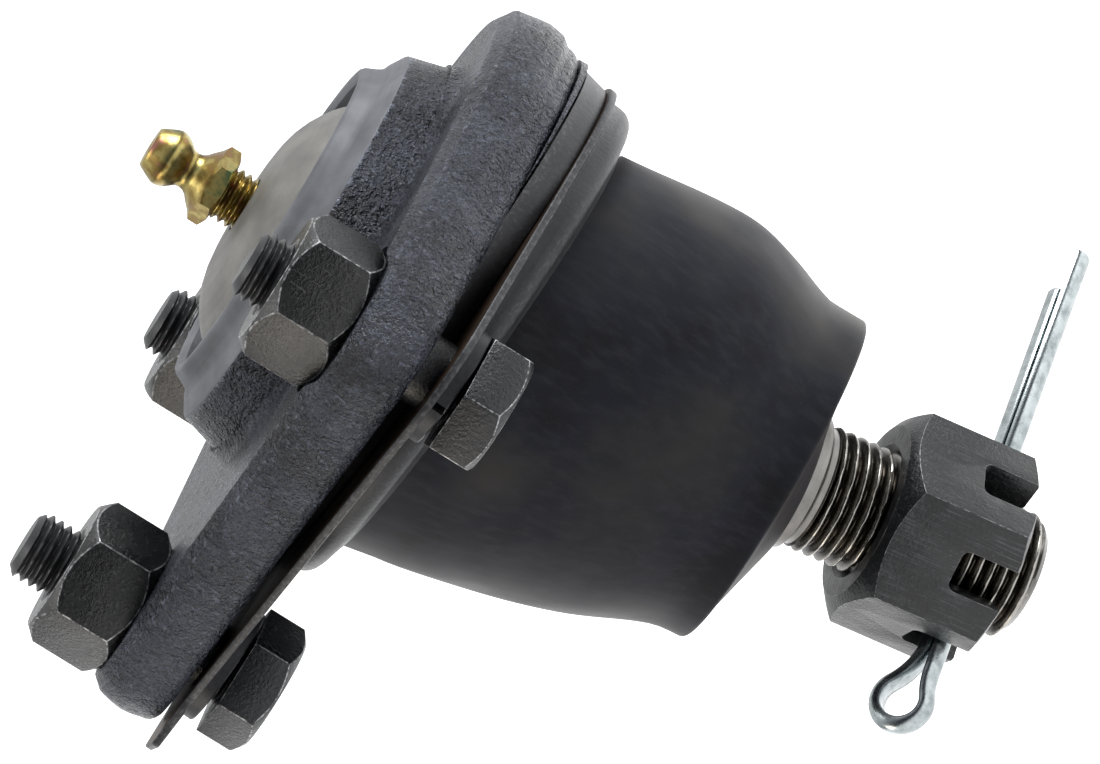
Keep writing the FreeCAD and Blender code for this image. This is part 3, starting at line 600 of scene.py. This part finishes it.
def makeNut(name):
    s = nutSize
    x, y = bolts[name]
    turn, base, bore = s["turn"][name], s["seat"][name], s["bore"]
    high = base + s["height"]
    face = (s["acrossFlats"] / 2 - 0.25, s["corner"])
    hexagon = hexLoops(s["acrossFlats"], turn, base, high, face, face)
    loops = [ringAt(bore, high - 0.6, turn), ringAt(bore + 0.7, high, turn), *hexagon.values(),
             ringAt(bore + 0.7, base, turn), ringAt(bore, base + 0.6, turn)]
    nut = skinLoops("hex_nut_" + name, loops, "wrap", [nutOxide, edgeSteel], None,
                    Matrix.Translation((x * mm, y * mm, 0)))
    softenEdges(nut, 0.1, 22)
    smoothByAngle(nut, 30)
    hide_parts("flange_nut_" + name)
    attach(nut, "housing_group")


boltSize = {"radius": 3.97, "length": 26.4, "headFlats": 13.3, "headHeight": 5.3, "pitch": 1.058,
            "threadFrom": 7.0, "stack": 2.4, "turn": {"front": 81.6, "left": 111.9, "right": 105.4}}


def makeBolt(name):
    s = boltSize
    x, y = bolts[name]
    slope = math.tan(retainerTilt)
    plateTop = stance["retainerAtBolt"] - (stance["longBolt"] - x) * slope
    seat = plateTop - s["stack"] / math.cos(retainerTilt) - washerSize["outer"] * slope - 0.05
    turn, radius, low = s["turn"][name], s["radius"], s["threadFrom"]
    hexagon = hexLoops(s["headFlats"], turn, seat - s["headHeight"], seat,
                       top=(s["headFlats"] / math.sqrt(3) - 0.2, 0.01), low=(s["headFlats"] / 2 - 0.35, 1.0))
    end = seat + s["length"]
    loops = [ringAt(0, seat - s["headHeight"], turn), hexagon["low"], hexagon["lowArc"], hexagon["topArc"],
             ringAt(radius + 0.3, seat, turn), ringAt(radius, seat + 0.4, turn), ringAt(radius, low, turn)]
    thread = threadRows(radius, s["pitch"], low, end - 0.35, 70, turn, chamfer=end - 0.9)
    wear = [0.0] * len(loops) + [0.5] * len(thread) + [0.6, 0.4]
    loops += thread + [ringAt(radius - 0.95, end, turn), ringAt(0, end, turn)]
    bolt = skinLoops("hex_bolt_" + name, loops, "open", [headOxide, edgeSteel, boltThread], wear,
                     Matrix.Translation((x * mm, y * mm, 0)))
    for face in bolt.data.polygons:
        if face.center.z > 0:
            face.material_index = 2
    softenHead(bolt, seat)
    smoothByAngle(bolt, 30)
    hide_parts("flange_bolt_" + name)
    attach(bolt, "housing_group")


# Only the head's edges are rounded over, not the thread.
def softenHead(bolt, seat):
    selectOnly(bolt)
    bpy.ops.object.mode_set(mode="EDIT")
    bpy.ops.mesh.select_all(action="DESELECT")
    bpy.ops.mesh.select_mode(type="EDGE")
    bpy.ops.mesh.edges_select_sharp(sharpness=math.radians(22))
    bpy.ops.object.mode_set(mode="OBJECT")
    for edge in bolt.data.edges:
        if edge.select and bolt.data.vertices[edge.vertices[0]].co.z > (seat + 0.01) * mm:
            edge.select = False
    bpy.ops.object.mode_set(mode="EDIT")
    bpy.ops.mesh.bevel(offset=0.09 * mm, segments=2, affect="EDGES", material=1)
    bpy.ops.object.mode_set(mode="OBJECT")


# Split lock washers: square wire, a little sprung at the split

washerSize = {"inner": 4.2, "outer": 6.9, "thick": 1.5, "edge": 0.16, "gap": 0.9,
              "split": {"front": 250.0, "left": 60.0, "right": 300.0}}


def makeLockWasher(name):
    s = washerSize
    x, y = bolts[name]
    edge, top = s["edge"], -retainerSize["thick"]
    section = [(s["inner"], edge), (s["inner"] + edge, 0), (s["outer"] - edge, 0), (s["outer"], edge),
               (s["outer"], s["thick"] - edge), (s["outer"] - edge, s["thick"]),
               (s["inner"] + edge, s["thick"]), (s["inner"], s["thick"] - edge)]
    gap = math.degrees(s["gap"] / s["outer"])
    loops = []
    for k in range(73):
        angle = math.radians(s["split"][name] + gap / 2 + (360 - gap) * k / 72)
        loops.append([(r * math.cos(angle), r * math.sin(angle), top - z) for r, z in section])
    place = retainerPlace @ Matrix.Translation((x / math.cos(retainerTilt) * mm, y * mm, 0))
    washer = skinLoops("split_lock_washer_" + name, loops, "ends", [springSteel], [0.5] * 73, place)
    smoothByAngle(washer, 30)
    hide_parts("lock_washer_" + name)
    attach(washer, "housing_group")


# Boot retainer: stamped plate with a drawn cup, and the dished ring above the boot's bead

retainerSize = {"thick": 0.9, "roundEnd": 31.5, "lobe": 9.0, "tipX": 55.4, "tipHalf": 3.2, "corner": 0.5,
                "cup": 30.35, "depth": 3.3, "drop": 0.6, "opening": 26.1, "bend": 1.9}


def plateLoop(shrink, z):
    s = retainerSize
    corner, lobe, y = s["corner"], s["lobe"] - shrink, stance["sideY"]
    front, side = stance["longBolt"] / math.cos(retainerTilt), stance["sideX"] / math.cos(retainerTilt)
    circles = [(s["tipX"] - corner, -(s["tipHalf"] - corner), corner - shrink),
               (s["tipX"] - corner, s["tipHalf"] - corner, corner - shrink), (front, 0.001, lobe),
               (side, y, lobe), (0.0, 0.0, s["roundEnd"] - shrink), (side, -y, lobe), (front, -0.001, lobe)]
    return [(x, y, z) for x, y in hullPoints(circles, (5, 5, 14, 24, 90, 24, 14), 26)]


def plateCircle(radius, z):
    return circleAlong(plateLoop(0.0, 0.0), radius, z)


def makeRetainer():
    s = retainerSize
    thick, cup, bend = s["thick"], s["cup"], s["bend"]
    bottom = -thick - s["depth"]
    inner, opening, brim = cup - thick, s["opening"], bottom - s["drop"]
    loops = [plateCircle(inner, -0.25), plateCircle(inner + 0.3, 0.0), plateLoop(0.25, 0.0),
             plateLoop(0.06, -0.06), plateLoop(0.0, -0.2), plateLoop(0.0, -0.68), plateLoop(0.05, -0.85),
             plateLoop(0.2, -thick), plateCircle(cup + 0.5, -thick), plateCircle(cup + 0.15, -thick - 0.15),
             plateCircle(cup, -thick - 0.5)]
    wear = [0.0, 0.0, 0.1, 0.6, 0.55, 0.6, 1.0, 0.4, 0.0, 0.0, 0.0]
    for k in range(7):
        turn = math.radians(90) * k / 6
        loops.append(plateCircle(cup - bend * (1 - math.cos(turn)), bottom + bend * (1 - math.sin(turn))))
        wear.append(0.35 if 1 < k < 5 else 0.1)
    loops += [plateCircle(opening + 0.2, brim), plateCircle(opening, brim + 0.2),
              plateCircle(opening, brim + thick), plateCircle(inner - 0.6, bottom + thick),
              plateCircle(inner, bottom + thick + 0.6)]
    wear += [0.5, 0.3, 0.0, 0.0, 0.0]
    plate = skinLoops("retainer_plate", loops, "wrap", [sheet, rustedSheet], wear, retainerPlace)
    upward = (retainerPlace.to_3x3() @ Vector((0, 0, 1))).normalized()
    for face in plate.data.polygons:
        if face.normal.dot(upward) > 0.99 and (retainerPlace.inverted() @ face.center).z > -0.1 * mm:
            face.material_index = 1
    smoothByAngle(plate, 40)
    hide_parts("boot_retainer_plate")
    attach(plate, "housing_group")
    profile = [(22.6, 0.05), (30.4, 0.05), (30.8, 0.12), (31.0, 0.4), (31.25, 1.8), (31.5, 3.15),
               (31.45, 3.2), (31.3, 3.2), (31.2, 3.1), (30.95, 1.9), (30.4, 1.15), (29.8, 0.95), (22.6, 0.95)]
    wear = [0.0, 0.0, 0.2, 0.2, 0.1, 0.8, 1.0, 1.0, 0.6, 0.1, 0.0, 0.0, 0.0]
    loops = [ringAt(r, z, 0, bootRound) for r, z in profile]
    ring = skinLoops("dished_backing_ring", loops, "wrap", [sheet], wear, retainerPlace)
    smoothByAngle(ring, 38)
    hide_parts("backing_ring")
    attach(ring, "housing_group")


for side in bolts:
    makeNut(side)
    makeBolt(side)
for side in bolts:
    makeLockWasher(side)
makeRetainer()
print("bolts, nuts, washers and retainer made")


# Boot: one moulded bell in two halves that meet at a seam

bootSize = {
    "knots": [(-16.5, 0.2, 25.5), (-22.0, 1.3, 25.4), (-31.0, 3.9, 24.95), (-36.5, 5.3, 24.25),
              (-41.5, 5.9, 22.75), (-47.2, 6.65, 20.45), (-49.6, 7.3, 19.95), (-52.6, 7.65, 19.8)],
    "wall": 2.4, "seam": -34.0, "lipTilt": 1.6, "lipRing": 42.3, "opening": 10.75, "floor": 3.4,
    "neck": 25.5, "beadInner": 22.5, "beadOuter": 29.0, "beadLow": -3.15, "beadHigh": -0.25, "bellTop": -19.5,
}


# Shift towards the stud and radius at a height, on a smooth curve through the knots.
def bootAt(z):
    knots = bootSize["knots"]
    i = max(k for k in range(len(knots) - 1) if knots[k][0] >= z or k == 0)
    before, left, right = knots[max(i - 1, 0)], knots[i], knots[i + 1]
    after = knots[min(i + 2, len(knots) - 1)]
    span = right[0] - left[0]
    t = (z - left[0]) / span
    values = []
    for k in (1, 2):
        slopeLeft = (right[k] - before[k]) / (right[0] - before[0]) * span
        slopeRight = (after[k] - left[k]) / (after[0] - left[0]) * span
        values.append(left[k] * (2 * t ** 3 - 3 * t ** 2 + 1) + slopeLeft * (t ** 3 - 2 * t ** 2 + t)
                      + right[k] * (3 * t ** 2 - 2 * t ** 3) + slopeRight * (t ** 3 - t ** 2))
    return values


def bootCircle(z, shrink, tilt=0.0, lift=0.0):
    shift, radius = bootAt(z)
    centre = studTowards * shift
    loop = []
    for i in range(bootRound):
        angle = 2 * math.pi * i / bootRound
        x = (radius - shrink) * math.cos(angle)
        y = (radius - shrink) * math.sin(angle)
        loop.append((centre.x + x, centre.y + y, z + lift - x * math.tan(math.radians(tilt))))
    return loop


# A circle about the leaning stud's own axis, its points in the same directions as the boot's circles.
def studCircle(radius, along):
    axis = (studPlace.to_3x3() @ Vector((0, 0, -1))).normalized()
    centre = Vector((0, 0, stance["ballZ"])) + axis * along
    loop = []
    for i in range(bootRound):
        angle = 2 * math.pi * i / bootRound
        flat = Vector((math.cos(angle), math.sin(angle), 0))
        level = flat - axis * flat.dot(axis)
        loop.append(tuple(centre + level.normalized() * radius))
    return loop


def between(a, b, share):
    return [tuple(Vector(p) + (Vector(q) - Vector(p)) * share) for p, q in zip(a, b)]


def retainerCircle(radius, z):
    return placed(ringAt(radius, z, 0, bootRound), retainerPlace)


def makeBoot():
    s = bootSize
    wall, seam, tilt = s["wall"], s["seam"], s["lipTilt"]
    beadLow, beadHigh, neck, bellTop = s["beadLow"], s["beadHigh"], s["neck"], s["bellTop"]
    bead = [(s["beadInner"], beadHigh), (s["beadOuter"], beadHigh), (s["beadOuter"], beadLow),
            (neck + 0.2, beadLow - 0.1), (neck, -3.6), (neck, -4.8)]
    outer = [retainerCircle(radius, z) for radius, z in bead]
    steps = 10
    outer += [bootCircle(bellTop + (seam - bellTop) * k / steps, 0.0) for k in range(steps + 1)]
    inner = [bootCircle(seam + (bellTop - seam) * k / steps, wall) for k in range(steps + 1)]
    inner += [retainerCircle(neck - wall, -4.8), retainerCircle(s["beadInner"], beadLow + 0.3)]
    upper = skinLoops("rubber_boot_upper", outer + inner, "wrap", [rubber])
    lipZ = s["knots"][-1][0]
    rows = 16
    low = [bootCircle(seam + (lipZ + 0.5 - seam) * k / rows, 0.0, tilt * (k / rows) ** 3)
           for k in range(rows + 1)]
    edge = [bootCircle(lipZ, 0.06, tilt, 0.2), bootCircle(lipZ, 0.3, tilt, 0.02), bootCircle(lipZ, 0.9, tilt)]
    rim = edge[-1]
    opening = studCircle(s["opening"], s["lipRing"] + 1.2)
    bottom = [between(rim, opening, share) for share in (0.25, 0.5, 0.75)] + [opening]
    top = studCircle(s["opening"], s["lipRing"] - 1.4)
    floorZ = lipZ + s["floor"]
    floorRim = bootCircle(floorZ, wall + 0.5, tilt)
    inside = [top, between(top, floorRim, 0.5), floorRim]
    inside += [bootCircle(floorZ + 0.7 + (seam - floorZ - 0.7) * k / rows, wall) for k in range(rows + 1)]
    lower = skinLoops("rubber_boot_lower", low + edge + bottom + inside, "wrap", [rubber])
    for piece in (upper, lower):
        smoothByAngle(piece, 50)
        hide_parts("dust_boot")
    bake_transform(upper)
    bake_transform(lower)


makeBoot()
print("boot made")


# Ball stud: ground taper, runout groove and rolled thread

studSize = {"ball": 13.5, "ballFlat": 4.5, "neck": 7.6, "neckEnd": 16.0, "taperFrom": 21.5, "taperWide": 9.2,
            "taperTo": 45.6, "taperNarrow": 7.7, "groove": 6.75, "threadFrom": 47.0, "thread": 7.144,
            "pitch": 1.411, "end": 73.1, "endFace": 5.6}


def makeStud():
    s = studSize
    count = 128
    profile = [(0, math.sqrt(s["ball"] ** 2 - s["ballFlat"] ** 2))]
    first = math.asin(s["ballFlat"] / s["ball"])
    last = math.pi - math.asin(s["neck"] / s["ball"])
    for k in range(29):
        turn = first + (last - first) * k / 28
        profile.append((s["ball"] * math.sin(turn), s["ball"] * math.cos(turn)))
    profile += [(s["neck"], -s["neckEnd"]), (s["taperWide"], -s["taperFrom"]),
                (s["taperNarrow"], -s["taperTo"]), (7.25, -45.75), (6.9, -45.95),
                (s["groove"], -46.3), (s["groove"], -46.8), (7.0, -s["threadFrom"])]
    loops = [ringAt(r, z, 0, count) for r, z in profile]
    tip = [(6.5, 0.7), (s["endFace"] + 0.3, 0.1), (s["endFace"], 0.0), (1.6, 0.0), (0.5, 1.2), (0, 1.6)]
    thread = threadRows(s["thread"], s["pitch"], -s["threadFrom"], -(s["end"] - 0.9), 190, 0, count)
    wear = [1.0] * len(loops) + [0.5] * len(thread) + [1.0] * len(tip)
    loops += thread + [ringAt(r, -(s["end"] - back), 0, count) for r, back in tip]
    stud = skinLoops("leaning_ball_stud", loops, "open", [groundSteel, studThread], wear, studPlace)
    inward = studPlace.inverted()
    wearAndLightLevel = stud.data.attributes["wear"]
    # Each thread point gets 1 on its crest, falling to 0 in the root: the mask of the painted highlight on
    # the crests and the painted shade in the roots.
    for v in stud.data.vertices:
        local = inward @ v.co / mm
        if s["threadFrom"] - 0.3 < -local.z < s["end"] - 0.95:
            depth = (s["thread"] - math.hypot(local.x, local.y)) / (threadDepth * s["pitch"])
            wearAndLightLevel.data[v.index].value = max(0.0, 1.0 - 1.5 * depth)
    for face in stud.data.polygons:
        along = -(inward @ face.center).z / mm
        if s["threadFrom"] - 0.2 < along < s["end"] - 0.8:
            face.material_index = 1
    smoothByAngle(stud, 50)
    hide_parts("ball_stud")
    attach(stud, "stud_group")


makeStud()


# Castle nut: six slots across the far end, corners turned off where it faces the boot

castleSize = {"acrossFlats": 22.225, "start": 53.7, "height": 15.4, "slot": 4.76, "slotDepth": 6.7,
              "faceRadius": 10.1, "cornerDrop": 1.9, "bore": 7.18}


def makeCastleNut():
    s = castleSize
    high, base = -s["start"], -(s["start"] + s["height"])
    hexagon = hexLoops(s["acrossFlats"], 0.0, base, high, top=(s["faceRadius"], s["cornerDrop"]),
                       low=(s["acrossFlats"] / 2 - 0.1, 0.9))
    loops = [ringAt(s["bore"], high - 0.8), ringAt(s["bore"] + 0.8, high), *hexagon.values(),
             ringAt(s["bore"] + 0.6, base), ringAt(s["bore"], base + 0.6)]
    nut = skinLoops("castle_nut_slotted", loops, "wrap", [], None, studPlace)
    for k in range(3):
        bpy.ops.mesh.primitive_cube_add(size=1.0, location=(0, 0, 0))
        slot = bpy.context.object
        for v in slot.data.vertices:
            up = base - 2 + (v.co.z + 0.5) * (s["slotDepth"] + 2)
            v.co = Vector((v.co.x * 40, v.co.y * s["slot"], up)) * mm
        corner = slot.modifiers.new("corner", "BEVEL")
        corner.width = 0.9 * mm
        corner.segments = 4
        useModifiers(slot)
        slot.data.transform(studPlace @ Matrix.Rotation(math.radians(60 * k), 4, "Z"))
        cutAway(nut, slot)
    bpy.ops.object.mode_set(mode="EDIT")
    bpy.ops.mesh.select_all(action="SELECT")
    bpy.ops.mesh.remove_doubles(threshold=0.005 * mm)
    bpy.ops.mesh.dissolve_limited(angle_limit=math.radians(0.6))
    bpy.ops.object.mode_set(mode="OBJECT")
    nut.data.materials.append(castleOxide)
    nut.data.materials.append(edgeSteel)
    softenEdges(nut, 0.1, 26)
    smoothByAngle(nut, 30)
    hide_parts("castle_nut")
    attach(nut, "stud_group")


makeCastleNut()
print("stud and castle nut made")


# Split pin: half-round wire, flats together, with an open eye that bulges towards the boot

pinSize = {"radius": 1.55, "gap": 0.06, "long": 37.5, "short": 32.5, "eye": 2.15, "eyeX": -18.4, "flare": 9.0,
           "offset": 1.4, "tilt": 2.1, "turn": -36.0, "at": 66.3}


def pinPath():
    s = pinSize
    arm = s["eye"] + s["flare"]
    eye = Vector((s["eyeX"], s["offset"]))

    def arc(centre, radius, first, last, steps):
        return [(centre[0] + radius * math.cos(first + (last - first) * k / steps),
                 centre[1] + radius * math.sin(first + (last - first) * k / steps)) for k in range(steps + 1)]

    flares = {}
    for side in (1, -1):
        height = side * (s["gap"] + s["flare"])
        centre = Vector((s["eyeX"] + math.sqrt(arm ** 2 - (height - s["offset"]) ** 2), height))
        towards = (centre - eye).normalized()
        flares[side] = (centre, math.atan2(-side, 0), math.atan2(-towards.y, -towards.x),
                        math.atan2(towards.y, towards.x))
    centre, legTurn, eyeTurn, eyeStart = flares[1]
    while eyeTurn > legTurn:
        eyeTurn -= 2 * math.pi
    points = [(s["short"], s["gap"]), (s["short"] - 0.4, s["gap"]), (12.0, s["gap"])]
    points += arc(centre, s["flare"], legTurn, eyeTurn, 10)
    farCentre, farLeg, farEye, farStart = flares[-1]
    while farStart < eyeStart:
        farStart += 2 * math.pi
    points += arc(eye, s["eye"], eyeStart, farStart, 26)[1:]
    while farEye < farLeg:
        farEye += 2 * math.pi
    points += arc(farCentre, s["flare"], farEye, farLeg, 10)[1:]
    points += [(12.0, -s["gap"]), (s["long"] - 0.4, -s["gap"]), (s["long"], -s["gap"])]
    return points


def makePin():
    s = pinSize
    points = [Vector((x, 0, z)) for x, z in pinPath()]
    loops = []
    for i, point in enumerate(points):
        before, after = points[max(i - 1, 0)], points[min(i + 1, len(points) - 1)]
        heading = (after - before).normalized()
        outward = Vector((heading.z, 0, -heading.x))
        narrow = 0.8 if i in (0, len(points) - 1) else 1.0
        loop = [(-0.86, 0.0), (-0.96, 0.06)]
        loop += [(-math.cos(a), math.sin(a)) for a in [math.pi * (0.06 + 0.88 * k / 12) for k in range(13)]]
        loop += [(0.96, 0.06), (0.86, 0.0)]
        radius = s["radius"] * narrow
        loops.append([tuple(point + Vector((0, side * radius, 0)) + outward * up * radius)
                      for side, up in loop])
    place = (studPlace @ Matrix.Translation((0, 0, -s["at"] * mm))
             @ Matrix.Rotation(math.radians(s["tilt"]), 4, "Y")
             @ Matrix.Rotation(math.radians(s["turn"]), 4, "X"))
    pin = skinLoops("split_cotter_pin", loops, "ends", [wireZinc], None, place)
    smoothByAngle(pin, 40)
    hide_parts("cotter_pin")
    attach(pin, "stud_group")


makePin()


# Grease fitting: thread, hexagon, waisted neck and ball head with the check ball in its mouth

fittingSize = {"thread": 3.15, "pitch": 0.907, "low": 8.4, "threadFrom": 11.8, "hexZ": 15.3, "hexHeight": 2.2,
               "flats": 7.94, "turn": 20.0, "passage": 0.85}


def makeFitting():
    s = fittingSize
    hexTop, turn, thread, face = s["hexZ"] + s["hexHeight"], s["turn"], s["thread"], s["flats"] / 2 - 0.2
    hexagon = hexLoops(s["flats"], turn, s["hexZ"], hexTop, top=(face, 0.55), low=(face, 0.45))
    loops = [ringAt(s["passage"], s["low"], turn), ringAt(thread - 0.5, s["low"], turn),
             ringAt(thread, s["low"] + 0.6, turn), ringAt(thread, s["threadFrom"], turn)]
    loops += threadRows(thread, s["pitch"], s["threadFrom"], s["hexZ"] - 0.1, 40, turn)
    loops += reversed(hexagon.values())
    neck = [(3.5, hexTop + 0.25), (3.0, hexTop + 0.75), (2.5, hexTop + 1.15), (2.2, hexTop + 1.6),
            (2.12, 19.6), (2.2, 20.1), (2.5, 20.45), (2.9, 20.95), (3.17, 21.5), (3.3, 22.0), (3.26, 22.4),
            (3.05, 22.95), (2.78, 23.5), (2.5, 24.05), (2.34, 24.34), (2.18, 24.46), (1.9, 24.5),
            (1.0, 24.48), (0.8, 24.36), (0.75, 24.0),
            (0.75, 22.9), (1.35, 22.9), (1.35, 15.4), (s["passage"], 15.4)]
    loops += [ringAt(r, z, turn) for r, z in neck]
    fitting = skinLoops("grease_fitting_nipple", loops, "wrap", [goldZinc])
    smoothByAngle(fitting, 34)
    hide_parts("grease_fitting")
    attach(fitting, "housing_group")


makeFitting()


# The valve's coil spring, built at one length; the real one shortens as the ball is pressed in.
def makeCheckSpring():
    low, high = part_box("grease_check_spring")
    wire = 0.2
    coil = high[0] / mm - wire - 0.03
    bottom, top = low[2] / mm + wire, high[2] / mm - wire
    turns, steps, travel = 4, 24, 0.9
    loops = []
    for k in range(turns * steps + 1):
        angle = 2 * math.pi * k / steps
        z = bottom + (top - bottom) * k / (turns * steps)
        row = []
        for i in range(10):
            around = 2 * math.pi * i / 10
            r = coil + wire * math.cos(around)
            row.append((r * math.cos(angle), r * math.sin(angle), z + wire * math.sin(around)))
        loops.append(row)
    spring = skinLoops("grease_valve_spring", loops, "ends", [springSteel])
    smoothByAngle(spring, 50)
    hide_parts("grease_check_spring")
    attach(spring, "housing_group")
    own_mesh(spring)


makeCheckSpring()
print("pin, fitting and spring made")

# The CAD's own pieces that stay: inside the housing and under the boot
carried = {"preload_washer": springSteel, "upper_bearing": bearingFinish, "lower_bearing": bearingFinish,
           "grease_check_ball": wireZinc, "boot_lip_ring": lipFinish}
for node, finish in carried.items():
    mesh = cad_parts[node].data
    mesh.materials.clear()
    mesh.materials.append(finish)

# Camera where the photograph was taken from
camera = bpy.data.objects.new("photo_camera", bpy.data.cameras.new("photo_camera"))
bpy.context.scene.collection.objects.link(camera)
camera.data.lens = 461.57
camera.data.sensor_width = 36.0
camera.data.sensor_fit = "HORIZONTAL"
camera.data.clip_end = 30.0
camera.matrix_world = Matrix(((-0.509574, -0.848132, 0.144938, 0.219525),
                              (0.154986, 0.075217, 0.985049, 1.499445),
                              (-0.846353, 0.524419, 0.093120, 0.116073), (0, 0, 0, 1)))
bpy.context.scene.camera = camera

# Pale floor, wide enough to fill the view behind the part
bpy.ops.mesh.primitive_circle_add(vertices=96, radius=9.0, fill_type="NGON", location=(0, 0, -0.16))
floor = bpy.context.object
floor.name = "pale_floor"
paper, paperTree, paperShader, paperCoords = newMaterial("white_studio_paper")
fibre = grainOf(paperTree, paperCoords, 400.0, 2.0, 0.5)
behind = addNode(paperTree, "SeparateXYZ", {"Vector": paperCoords}, "Y")
glow = addNode(paperTree, "MapRange", {"Value": behind, "From Min": -0.1, "From Max": -0.45, "To Min": 0.0,
                                       "To Max": 0.75})
setNode(paperTree, paperShader, {
    "Base Color": through(paperTree, (fibre, [(0.3, "#f7f7f7"), (0.7, "#fbfbfb")])), "Roughness": 0.9,
    "Emission Color": "#ffffff", "Emission Strength": glow,
})
floor.data.materials.append(paper)

# Soft studio light: a bright ceiling and far wall, a dim and slightly blue room behind the camera, the paper
# glowing behind the part, and softboxes at the picture's top, foot and left
lights = {
    "top_softbox": {"at": (-0.85, 0.2, 0.5), "size": 0.6, "power": 13.0, "colour": "#ffffff"},
    "low_softbox": {"at": (0.95, 0.0, -0.1), "size": 0.5, "power": 4.0, "colour": "#fff2e2"},
    "left_softbox": {"at": (0.45, 0.12, 0.95), "size": 0.5, "power": 4.0, "colour": "#fdfbf7"},
}
for name, facts in lights.items():
    lamp = bpy.data.objects.new(name, bpy.data.lights.new(name, "AREA"))
    lamp.data.energy = facts["power"]
    lamp.data.size = facts["size"]
    lamp.data.color = linear(facts["colour"])[:3]
    lamp.location = facts["at"]
    aim = Vector((0, 0, -0.03)) - lamp.location
    lamp.rotation_euler = aim.to_track_quat("-Z", "Y").to_euler()
    bpy.context.scene.collection.objects.link(lamp)
world = bpy.data.worlds.new("studio")
bpy.context.scene.world = world
world.use_nodes = True
skyTree = world.node_tree
heading = addNode(skyTree, "TexCoord", {}, "Generated")
towardsWall = addNode(skyTree, "Math", {"operation": "MULTIPLY", 1: -0.42,
                                        0: addNode(skyTree, "SeparateXYZ", {"Vector": heading}, "Y")})
bright = addNode(skyTree, "Math", {"operation": "ADD", 1: towardsWall,
                                   0: addNode(skyTree, "SeparateXYZ", {"Vector": heading}, "Z")})
ceiling = through(skyTree, (bright, [(0.0, "#2a2e37"), (0.3, "#9a9ca1"), (0.6, "#f4f5f6"), (1.0, "#ffffff")]))
setNode(skyTree, skyTree.nodes["Background"], {"Color": ceiling, "Strength": 1.1})
bpy.context.scene.view_settings.view_transform = "Standard"
